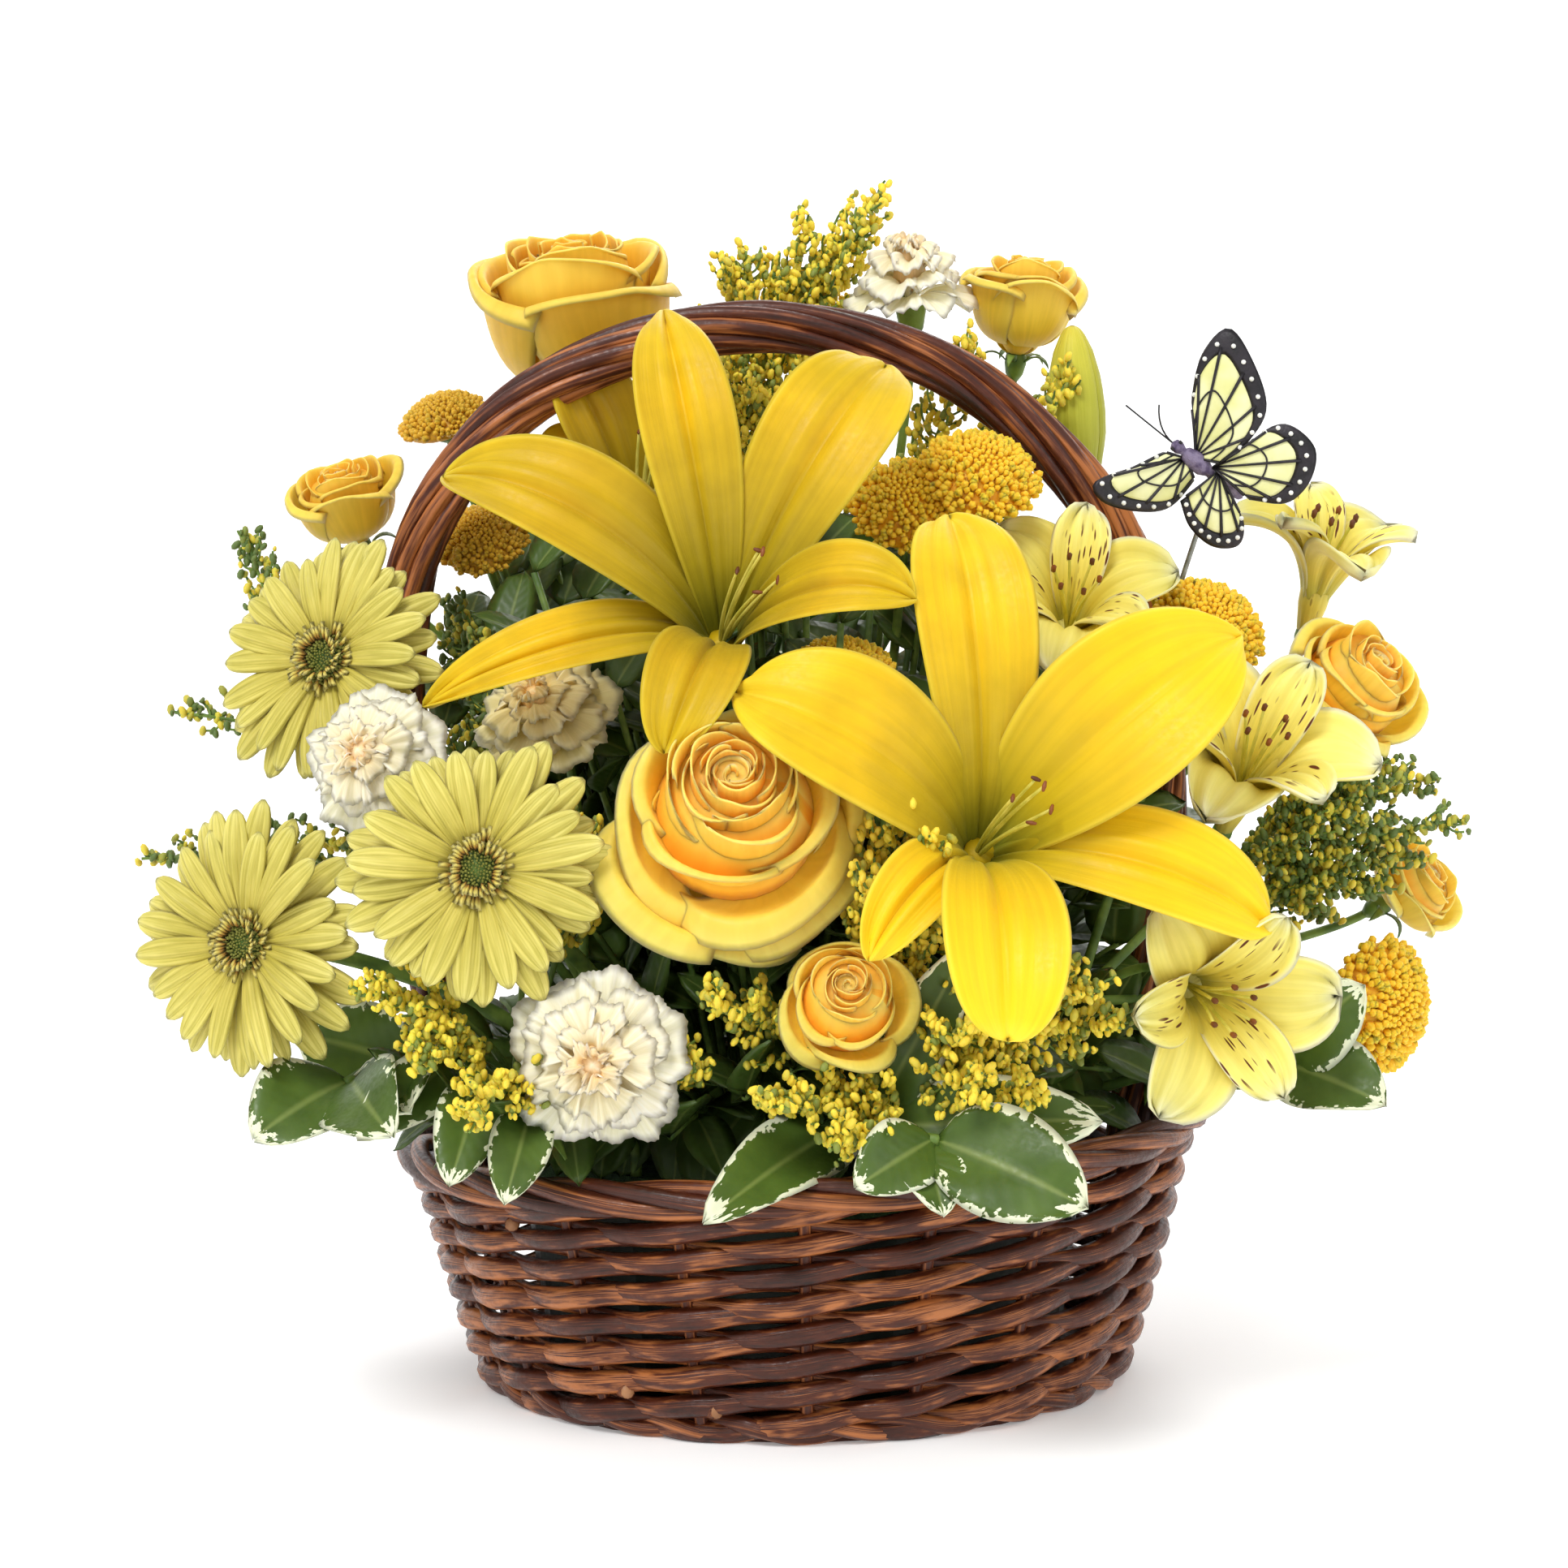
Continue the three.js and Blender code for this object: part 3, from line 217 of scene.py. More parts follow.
def leafFinish(name, heart, flesh, margin, width=0.0, rough=0.42):
    material, tree, skin = newMaterial(name)
    vein = useGroup(tree, veins)
    patch = useGroup(tree, mottle, scale=90.0, grain=7.0)
    across = calc(tree, "ABSOLUTE", attribute(tree, "across"))
    along = attribute(tree, "along")
    reach = calc(tree, "MAXIMUM", across, remap(tree, along, 0.55, 1.0, 0.0, 1.0))
    side = calc(tree, "MULTIPLY", attribute(tree, "across"), 3.0)
    place = put(tree, "ShaderNodeCombineXYZ", {
        0: side, 1: calc(tree, "MULTIPLY", along, 9.0), 2: calc(tree, "MULTIPLY", attribute(tree, "shade"), 50.0)})
    jag = put(tree, "ShaderNodeTexNoise", {"Vector": place.outputs[0], "Scale": 1.6, "Detail": 3.0}).outputs[0]
    edge = calc(tree, "ADD", reach, calc(tree, "MULTIPLY", calc(tree, "SUBTRACT", jag, 0.5), 0.9))
    mask = remap(tree, edge, 1.0 - width, 1.03 - width) if width else 0.0
    colour = blendColour(tree, patch["Patches"], heart, flesh)
    ribColour = blendColour(tree, 0.4, flesh, srgb(190, 200, 120))
    colour = blendColour(tree, calc(tree, "MULTIPLY", vein["Rib"], 0.5), colour, ribColour)
    colour = blendColour(tree, mask, colour, margin)
    tree.links.new(colour, skin.inputs["Base Color"])
    slant = calc(tree, "SUBTRACT", along, calc(tree, "MULTIPLY", across, 0.25))
    sideVeins = calc(tree, "SINE", calc(tree, "MULTIPLY", slant, 55.0))
    height = calc(tree, "ADD", calc(tree, "MULTIPLY", sideVeins, 0.25), calc(tree, "MULTIPLY", vein["Rib"], -1.0))
    addBump(tree, skin, 0.16, 0.0005, height)
    addRoughness(tree, skin, patch["Fine"], rough - 0.08, rough + 0.1)
    addScatter(skin, 0.06)
    skin.inputs["Specular IOR Level"].default_value = 0.35
    return material


def plainFinish(name, dark, light, scale=120.0, rough=0.55, relief=0.3, metal=0.0, glow=0.0):
    material, tree, skin = newMaterial(name)
    patch = useGroup(tree, mottle, scale=scale, grain=6.0)
    mask = remap(tree, patch["Patches"], 0.35, 0.65)
    tree.links.new(blendColour(tree, mask, dark, light), skin.inputs["Base Color"])
    addBump(tree, skin, relief, 0.0005, patch["Fine"])
    addRoughness(tree, skin, patch["Fine"], rough - 0.08, rough + 0.08)
    addScatter(skin, glow)
    skin.inputs["Metallic"].default_value = metal
    return material


def beadFinish(name, young, middle, ripe, share):  # flower beads, some of them still green
    material, tree, skin = newMaterial(name)
    patch = useGroup(tree, mottle, scale=160.0, grain=6.0)
    age = calc(tree, "ADD", attribute(tree, "shade"), calc(tree, "MULTIPLY", patch["Patches"], 0.4))
    tree.links.new(ramp(tree, age, [(share, young), (share + 0.12, middle), (min(share + 0.5, 1.0), ripe)]),
                   skin.inputs["Base Color"])
    addRoughness(tree, skin, patch["Fine"], 0.5, 0.7)
    addScatter(skin, 0.3)
    return material


def willowFinish(name, dark, middle, light, rough=0.42):
    material, tree, skin = newMaterial(name)
    along, around, shade = (attribute(tree, key) for key in ("along", "across", "shade"))
    place = put(tree, "ShaderNodeCombineXYZ", {
        0: calc(tree, "MULTIPLY", along, 26.0), 1: calc(tree, "MULTIPLY", around, 5.0),
        2: calc(tree, "MULTIPLY", shade, 60.0)})
    streaks = put(tree, "ShaderNodeTexNoise", {"Vector": place.outputs[0], "Scale": 1.0, "Detail": 5.0}).outputs[0]
    patch = useGroup(tree, mottle, scale=45.0, grain=14.0)
    level = calc(tree, "ADD", streaks, calc(tree, "MULTIPLY", shade, 0.2))
    level = calc(tree, "ADD", level, calc(tree, "MULTIPLY", patch["Patches"], 0.4))
    colour = ramp(tree, level, [(0.52, dark), (0.8, middle), (1.0, light)])
    tree.links.new(colour, skin.inputs["Base Color"])
    height = calc(tree, "ADD", streaks, calc(tree, "MULTIPLY", patch["Fine"], 0.4))
    addBump(tree, skin, 0.45, 0.0006, height)
    addRoughness(tree, skin, patch["Fine"], rough - 0.1, rough + 0.12)
    skin.inputs["Specular IOR Level"].default_value = 0.42
    return material


finishes = {
    "willow": willowFinish("willow", srgb(36, 12, 5), srgb(84, 36, 16), srgb(184, 112, 60), rough=0.38),
    "cutEnd": plainFinish("cutEnd", srgb(140, 92, 56), srgb(176, 126, 84)),
    "lily": petalFinish("lilyPetal", [
        (0.0, srgb(112, 124, 34)), (0.18, srgb(190, 166, 20)), (0.5, srgb(236, 190, 6)), (1.0, srgb(244, 208, 22)),
    ], srgb(253, 230, 78), lines=9.0, relief=0.4, rimShare=0.4, shadeRange=0.36, streak=0.08),
    "gerbera": petalFinish("gerberaRay", [
        (0.0, srgb(146, 132, 54)), (0.3, srgb(206, 190, 86)), (1.0, srgb(228, 216, 120)),
    ], srgb(240, 231, 150), lines=6.0, relief=0.6, rimShare=0.5, shadeRange=0.4, streak=0.24),
    "gerberaFringe": petalFinish("gerberaFringe", [
        (0.0, srgb(120, 78, 32)), (0.35, srgb(176, 128, 52)), (0.6, srgb(222, 198, 96)), (1.0, srgb(238, 222, 130)),
    ], srgb(240, 226, 140), rimShare=0.2, glow=0.3),
    "gerberaEye": petalFinish("gerberaEye", [
        (0.0, srgb(112, 124, 52)), (0.6, srgb(140, 140, 62)), (0.9, srgb(150, 128, 52)), (1.0, srgb(166, 120, 50)),
    ], srgb(160, 156, 80), by="depth"),
    "rose": petalFinish("rosePetal", [
        (0.0, srgb(255, 158, 34)), (0.3, srgb(255, 178, 44)), (0.65, srgb(255, 194, 54)), (1.0, srgb(255, 204, 66)),
    ], srgb(255, 230, 124), by="depth", lines=9.0, relief=0.1, rimShare=0.6, soft=0.4, glow=0.7, shadeRange=0.06),
    "rosePale": petalFinish("paleRosePetal", [
        (0.0, srgb(252, 180, 36)), (0.5, srgb(251, 190, 44)), (1.0, srgb(250, 198, 56)),
    ], srgb(254, 226, 116), by="depth", lines=9.0, relief=0.1, rimShare=0.35, soft=0.3, glow=0.5, shadeRange=0.16),
    # the petals deep in the flower are darker and more peach than the outer ones: partly the flower's own tint, partly
    # painted shade
    "carnation": petalFinish("carnationPetal", [
        (0.0, srgb(251, 204, 140)), (0.3, srgb(252, 226, 174)), (0.7, srgb(252, 240, 202)), (1.0, srgb(249, 242, 206)),
    ], srgb(255, 251, 234), by="depth", lines=18.0, relief=0.2, rimShare=0.6, soft=0.3, glow=0.4, shadeRange=0.08),
    # the carnation colours made darker and warmer, for carnation_3, which sits behind the goldenrod where the shade
    # falls: painted shade
    "carnationPaintedShade": petalFinish("carnationPetalPaintedShade", [
        (0.0, srgb(246, 190, 104)), (0.3, srgb(250, 214, 136)), (0.7, srgb(250, 226, 156)), (1.0, srgb(244, 224, 150)),
    ], srgb(254, 242, 200), by="depth", lines=18.0, relief=0.2, rimShare=0.6, soft=0.3, glow=0.4, shadeRange=0.08),
    "mum": petalFinish("mumFloret", [
        (0.0, srgb(255, 178, 36)), (0.4, srgb(255, 196, 44)), (1.0, srgb(255, 208, 56)),
    ], srgb(255, 214, 70), by="depth", lines=4.0, relief=0.0, glow=0.9, shadeRange=0.1),
    # the same mum colours made darker, for the two heads at the back left where the shade falls: painted shade
    "mumPaintedShade": petalFinish("mumFloretPaintedShade", [
        (0.0, srgb(214, 156, 36)), (0.45, srgb(222, 172, 46)), (1.0, srgb(230, 188, 64)),
    ], srgb(232, 196, 84), by="depth", lines=4.0, relief=0.0, glow=0.6),
    "alstroemeria": petalFinish("alstroemeriaPetal", [
        (0.0, srgb(190, 190, 84)), (0.3, srgb(240, 218, 92)), (0.75, srgb(246, 230, 122)), (1.0, srgb(236, 230, 150)),
    ], srgb(250, 246, 206), spot={"across": 8.0, "along": 4.5, "colour": srgb(96, 40, 18)}, lines=10.0, glow=0.3),
    "goldenrod": beadFinish("goldenrodBead", srgb(132, 146, 60), srgb(214, 198, 62), srgb(252, 222, 66), 0.34),
    "goldenrodGreen": beadFinish("goldenrodBud", srgb(96, 118, 56), srgb(138, 150, 62), srgb(222, 204, 66), 0.6),
    "stem": plainFinish("greenStem", srgb(74, 104, 36), srgb(118, 146, 60), glow=0.05),
    "variegated": leafFinish("variegatedLeaf", srgb(50, 74, 24), srgb(92, 118, 44), srgb(232, 236, 204), width=0.14),
    "greenLeaf": leafFinish("darkLeaf", srgb(46, 68, 24), srgb(84, 110, 42), srgb(90, 110, 60)),
    "bud": petalFinish("lilyBud", [
        (0.0, srgb(150, 160, 60)), (0.6, srgb(190, 190, 60)), (1.0, srgb(222, 206, 70)),
    ], srgb(214, 208, 90), lines=9.0, relief=0.6),
    "pollen": plainFinish("anther", srgb(90, 44, 14), srgb(140, 74, 20)),
    "filament": plainFinish("filament", srgb(196, 190, 70), srgb(226, 214, 100)),
    "wingPale": plainFinish("wingPale", srgb(226, 226, 150), srgb(240, 240, 184), scale=80.0, rough=0.6),
    "wingDark": plainFinish("wingDark", srgb(14, 12, 16), srgb(34, 28, 36), scale=200.0, rough=0.5),
    "wingDot": plainFinish("wingDot", srgb(226, 228, 220), srgb(244, 244, 238), scale=200.0),
    "insect": plainFinish("insectBody", srgb(84, 70, 104), srgb(134, 122, 150), scale=400.0, rough=0.7, relief=0.8),
    "wire": plainFinish("pickWire", srgb(110, 112, 104), srgb(150, 152, 146), rough=0.35, metal=0.9),
    "foam": plainFinish("wetFoam", srgb(38, 62, 34), srgb(58, 88, 48), scale=300.0, rough=0.9, relief=0.9),
    "liner": plainFinish("linerPlastic", srgb(22, 32, 22), srgb(34, 46, 32), scale=60.0, rough=0.4, relief=0.1),
}
print("finishes ready")

# ---- mesh building in millimetres ----


def newShape():
    return {"points": [], "faces": [], "along": [], "across": [], "shade": [], "depth": [], "finish": [], "count": 0}


def addFaces(shape, points, faces, along, across, shade, depth, finish=0):
    number = len(points)
    shape["points"].append(np.asarray(points, float).reshape(-1, 3))
    shape["faces"].append(np.asarray(faces, int).reshape(-1, 4) + shape["count"])
    for key, value in (("along", along), ("across", across), ("shade", shade), ("depth", depth)):
        shape[key].append(np.broadcast_to(np.asarray(value, float), (number,)))
    shape["finish"].append(np.full(len(faces), finish))
    shape["count"] += number


def sheetGrid(rows, columns):  # u runs from a sheet's foot to its tip, v from side to side
    return np.meshgrid(np.linspace(0, 1, rows + 1), np.linspace(-1, 1, columns + 1), indexing="ij")


def placed(points, matrix):
    turn = np.array(matrix)
    return points @ turn[:3, :3].T + turn[:3, 3]


def addSheet(shape, surface, thickness, shade=0.5, depth=0.5, finish=0):
    rows, columns = surface.shape[0] - 1, surface.shape[1] - 1
    normal = np.cross(np.gradient(surface, axis=1), np.gradient(surface, axis=0))
    normal /= np.maximum(np.linalg.norm(normal, axis=2, keepdims=True), 1e-9)
    inside = np.zeros((rows + 1, columns + 1), bool)
    inside[1:-1, 1:-1] = True
    offset = normal * (thickness / 2) * inside[..., None]
    front = np.arange((rows + 1) * (columns + 1)).reshape(rows + 1, columns + 1)
    back = front.copy()
    back[inside] = front.size + np.arange(inside.sum())
    u, v = sheetGrid(rows, columns)
    points = np.concatenate([(surface + offset).reshape(-1, 3), (surface - offset)[inside]])
    quads = np.stack([front[:-1, :-1], front[:-1, 1:], front[1:, 1:], front[1:, :-1]], axis=-1).reshape(-1, 4)
    behind = np.stack([back[:-1, :-1], back[1:, :-1], back[1:, 1:], back[:-1, 1:]], axis=-1).reshape(-1, 4)
    along = np.concatenate([u.ravel(), u[inside]])
    across = np.concatenate([v.ravel(), v[inside]])
    depths = np.broadcast_to(depth, u.shape) if np.ndim(depth) else np.full(u.shape, depth)
    addFaces(shape, points, np.concatenate([quads, behind]), along, across, shade,
             np.concatenate([depths.ravel(), depths[inside]]), finish)


def addTube(shape, path, radius, sides=8, shade=0.5, depth=0.5, finish=0):
    path = np.asarray(path, float)
    radii = np.broadcast_to(np.asarray(radius, float), (len(path),))
    tangents = np.gradient(path, axis=0)
    tangents /= np.maximum(np.linalg.norm(tangents, axis=1, keepdims=True), 1e-9)
    side = np.cross(tangents[0], [0.31, 0.27, 0.91])
    rings = []
    for tangent, centre, r in zip(tangents, path, radii):
        side = side - tangent * side.dot(tangent)
        side /= np.linalg.norm(side)
        other = np.cross(tangent, side)
        angles = np.linspace(0, 2 * math.pi, sides, endpoint=False)[:, None]
        rings.append(centre + r * (np.cos(angles) * side + np.sin(angles) * other))
    count = len(path)
    points = np.concatenate([*rings, path[:1], path[-1:]])
    faces = []
    for i in range(count - 1):
        for j in range(sides):
            k = (j + 1) % sides
            faces.append((i * sides + j, i * sides + k, (i + 1) * sides + k, (i + 1) * sides + j))
    for j in range(0, sides, 2):  # each end is closed by quads round its middle
        low, high = count * sides, count * sides + 1
        k, m = (j + 1) % sides, (j + 2) % sides
        last = (count - 1) * sides
        faces.append((low, m, k, j))
        faces.append((high, last + j, last + k, last + m))
    along = np.concatenate([np.repeat(np.linspace(0, 1, count), sides), [0, 1]])
    across = np.concatenate([np.tile(np.linspace(-1, 1, sides), count), [0, 0]])
    addFaces(shape, points, faces, along, across, shade, depth, finish)


def turnedShape(shape, profile, sides=10, matrix=None, shade=0.5, depth=0.5, finish=0):
    rings = []
    for radius, height in profile:
        angles = np.linspace(0, 2 * math.pi, sides, endpoint=False)
        rings.append(np.stack([radius * np.cos(angles), radius * np.sin(angles), np.full(sides, height)], axis=-1))
    points = np.concatenate(rings)
    if matrix is not None:
        points = placed(points, matrix)
    faces = []
    for i in range(len(profile) - 1):
        for j in range(sides):
            k = (j + 1) % sides
            faces.append((i * sides + j, i * sides + k, (i + 1) * sides + k, (i + 1) * sides + j))
    along = np.repeat(np.linspace(0, 1, len(profile)), sides)
    across = np.tile(np.linspace(-1, 1, sides), len(profile))
    addFaces(shape, points, faces, along, across, shade, depth, finish)


def placeMatrix(at, facing=(0, 0, 1), spin=0.0, size=1.0):
    turn = up.rotation_difference(Vector(facing).normalized()).to_matrix().to_4x4()
    return Matrix.Translation(Vector(at)) @ turn @ Matrix.Rotation(spin, 4, "Z") @ Matrix.Scale(size, 4)


def finishShape(shape, name, materials, matrix=None):
    points = np.concatenate(shape["points"])
    if matrix is not None:
        points = placed(points, matrix)
    mesh = bpy.data.meshes.new(name)
    mesh.from_pydata((points * mm).tolist(), [], np.concatenate(shape["faces"]).tolist())
    for key in ("along", "across", "shade", "depth"):
        layer = mesh.attributes.new(key, "FLOAT", "POINT")
        layer.data.foreach_set("value", np.concatenate(shape[key]).astype(np.float32))
    for material in materials:
        mesh.materials.append(finishes[material])
    mesh.polygons.foreach_set("material_index", np.concatenate(shape["finish"]).astype(np.int32))
    mesh.polygons.foreach_set("use_smooth", [True] * len(mesh.polygons))
    mesh.update()
    return newObject(name, mesh)


def joinMeshes(name, parts):
    with bpy.context.temp_override(active_object=parts[0], selected_editable_objects=parts):
        bpy.ops.object.join()
    parts[0].name = name
    parts[0].data.name = name
    return parts[0]


def bezier(points, count):
    t = np.linspace(0, 1, count)[:, None]
    line = [np.asarray(p, float) for p in points]
    while len(line) > 1:
        line = [a * (1 - t) + b * t for a, b in zip(line, line[1:])]
    return line[0]


def smoothPath(points, steps=6):
    points = [Vector(p) for p in points]
    ends = [points[0] * 2 - points[1], *points, points[-1] * 2 - points[-2]]
    path = []
    for a, b, c, d in zip(ends, ends[1:], ends[2:], ends[3:]):
        for k in range(steps):
            t = k / steps
            point = 2 * b + (c - a) * t + (2 * a - 5 * b + 4 * c - d) * t * t
            path.append(0.5 * (point + (3 * b - a - 3 * c + d) * t ** 3))
    return np.array([*path, points[-1]], float)


def petalSurface(outward, line, halfWidth, rows, columns, cup=0.0, rib=0.0, ruffle=0.0, folds=3.0, phase=0.0,
                 sway=0.0):
    outward, upward = np.asarray(outward, float), np.array([0, 0, 1.0])
    side = np.cross(upward, outward)
    u, v = sheetGrid(rows, columns)
    middle = bezier(line, rows + 1)
    slope = np.gradient(middle, axis=0)
    slope /= np.maximum(np.linalg.norm(slope, axis=1, keepdims=True), 1e-9)
    width = halfWidth(u)
    grooves = np.exp(-(v / 0.1) ** 2) - 0.5 * np.exp(-((np.abs(v) - 0.26) / 0.12) ** 2)
    lift = cup * width * v * v - rib * grooves * np.sin(math.pi * np.clip(u, 0, 1)) ** 0.6
    lift = lift + ruffle * u ** 1.5 * np.cos(folds * math.pi * v + phase) * np.abs(v) ** 0.5
    x = middle[:, :1] - slope[:, 1:] * lift
    y = middle[:, 1:] + slope[:, :1] * lift
    sideways = width * v + sway * np.sin(math.pi * u * 0.9)
    return x[..., None] * outward + y[..., None] * upward + sideways[..., None] * side


def towards(angle):
    return np.array([math.cos(angle), math.sin(angle), 0.0])


def pointed(u, widest, foot, taper):  # a petal's half width, from its foot to its widest place and on to its tip
    rise = foot + (1 - foot) * np.sin(np.clip(u / widest, 0, 1) * math.pi / 2)
    fall = np.cos(np.clip((u - widest) / (1 - widest), 0, 1) * math.pi / 2)
    return rise * fall ** taper


def oval(u):  # a leaf's half width
    return np.maximum(np.sin(math.pi * np.clip(u, 0, 1) ** 0.85) ** 0.6, 0.02)


# ---- geometry nodes ----


def geoTree(name, inputs):
    tree = bpy.data.node_groups.new(name, "GeometryNodeTree")
    tree.interface.new_socket("Geometry", in_out="INPUT", socket_type="NodeSocketGeometry")
    kinds = {int: "NodeSocketInt", float: "NodeSocketFloat"}
    for label, value in inputs.items():
        tree.interface.new_socket(label, in_out="INPUT", socket_type=kinds[type(value)]).default_value = value
    tree.interface.new_socket("Finish", in_out="INPUT", socket_type="NodeSocketMaterial")
    tree.interface.new_socket("Geometry", in_out="OUTPUT", socket_type="NodeSocketGeometry")
    return tree, tree.nodes.new("NodeGroupInput").outputs, tree.nodes.new("NodeGroupOutput").inputs


def store(tree, geometry, name, value, domain="POINT"):
    inputs = {"Geometry": geometry, "Name": name, "Value": value}
    return put(tree, "GeometryNodeStoreNamedAttribute", inputs, domain=domain).outputs[0]


def randomValue(tree, low, high, seed, index=None):
    made = put(tree, "FunctionNodeRandomValue", {2: low, 3: high, 8: seed})
    if index is not None:
        tree.links.new(index, made.inputs[7])
    return made.outputs[1]


def named(tree, name):
    return put(tree, "GeometryNodeInputNamedAttribute", {"Name": name}).outputs[0]


def vector(tree, x, y, z):
    return put(tree, "ShaderNodeCombineXYZ", {0: x, 1: y, 2: z}).outputs[0]


def join(tree, *parts):
    joined = tree.nodes.new("GeometryNodeJoinGeometry")
    for part in reversed(parts):
        tree.links.new(part, joined.inputs[0])
    return joined.outputs[0]


def spread(tree, points, instance, rotation=(0, 0, 0), scale=(1, 1, 1)):
    inputs = {"Points": points, "Instance": instance, "Rotation": rotation, "Scale": scale}
    return put(tree, "GeometryNodeInstanceOnPoints", inputs).outputs[0]


def tubes(tree, curves, radius, sides=8, scale=1.0):  # curves made into rods, with the place round each rod kept
    profile = put(tree, "GeometryNodeCurvePrimitiveCircle", {"Resolution": sides, "Radius": radius}).outputs[0]
    factor = put(tree, "GeometryNodeSplineParameter").outputs[0]
    profile = store(tree, profile, "across", calc(tree, "MULTIPLY_ADD", factor, 2.0, -1.0))
    inputs = {"Curve": curves, "Profile Curve": profile, "Scale": scale, "Fill Caps": True}
    return put(tree, "GeometryNodeCurveToMesh", inputs).outputs[0]


def finishTree(tree, geometry, finish, out):
    solid = put(tree, "GeometryNodeRealizeInstances", {0: geometry}).outputs[0]
    solid = put(tree, "GeometryNodeSetMaterial", {"Geometry": solid, "Material": finish}).outputs[0]
    tree.links.new(solid, out[0])


def grow(name, tree, values, finish, source=None):
    carrier = source or newObject(name + "Carrier", bpy.data.meshes.new(name + "Carrier"))
    modifier = carrier.modifiers.new("grow", "NODES")
    modifier.node_group = tree
    for item in tree.interface.items_tree:
        if item.in_out == "INPUT" and item.name in values:
            modifier[item.identifier] = values[item.name]
        if item.in_out == "INPUT" and item.name == "Finish":
            modifier[item.identifier] = finishes[finish]
    depsgraph = bpy.context.evaluated_depsgraph_get()
    mesh = bpy.data.meshes.new_from_object(carrier.evaluated_get(depsgraph), depsgraph=depsgraph)
    carrier.modifiers.remove(modifier)
    if source is None:
        bpy.data.objects.remove(carrier)
    mesh.name = name
    mesh.polygons.foreach_set("use_smooth", [True] * len(mesh.polygons))
    return newObject(name, mesh)


def lineObject(name, paths, closed=False):  # lines in millimetres, as a mesh of edges
    points, edges = [], []
    for path in paths:
        start = len(points)
        points.extend([(float(x) * mm, float(y) * mm, float(z) * mm) for x, y, z in path])
        edges.extend([(start + i, start + i + 1) for i in range(len(path) - 1)])
        if closed:
            edges.append((len(points) - 1, start))
    mesh = bpy.data.meshes.new(name)
    mesh.from_pydata(points, edges, [])
    return newObject(name, mesh)


def remove(*objects):
    for item in objects:
        bpy.data.objects.remove(item)


def hand(piece, slot, *nodes):
    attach(piece, "root")
    if nodes:
        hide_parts(*nodes)


# ---- basket ----

basket = {
    "Foot Radius": 0.0985, "Rim Radius": 0.1188, "Height": 0.0745, "Rim Tilt": 0.005, "Rows": 16, "Stakes": 20,
    "Rod Radius": 0.0027, "Sway": 0.0021, "Slant": 0.0016, "Foot Curl": 0.003, "Uneven": 0.0024, "Steps": 320,
    "Seed": 3}


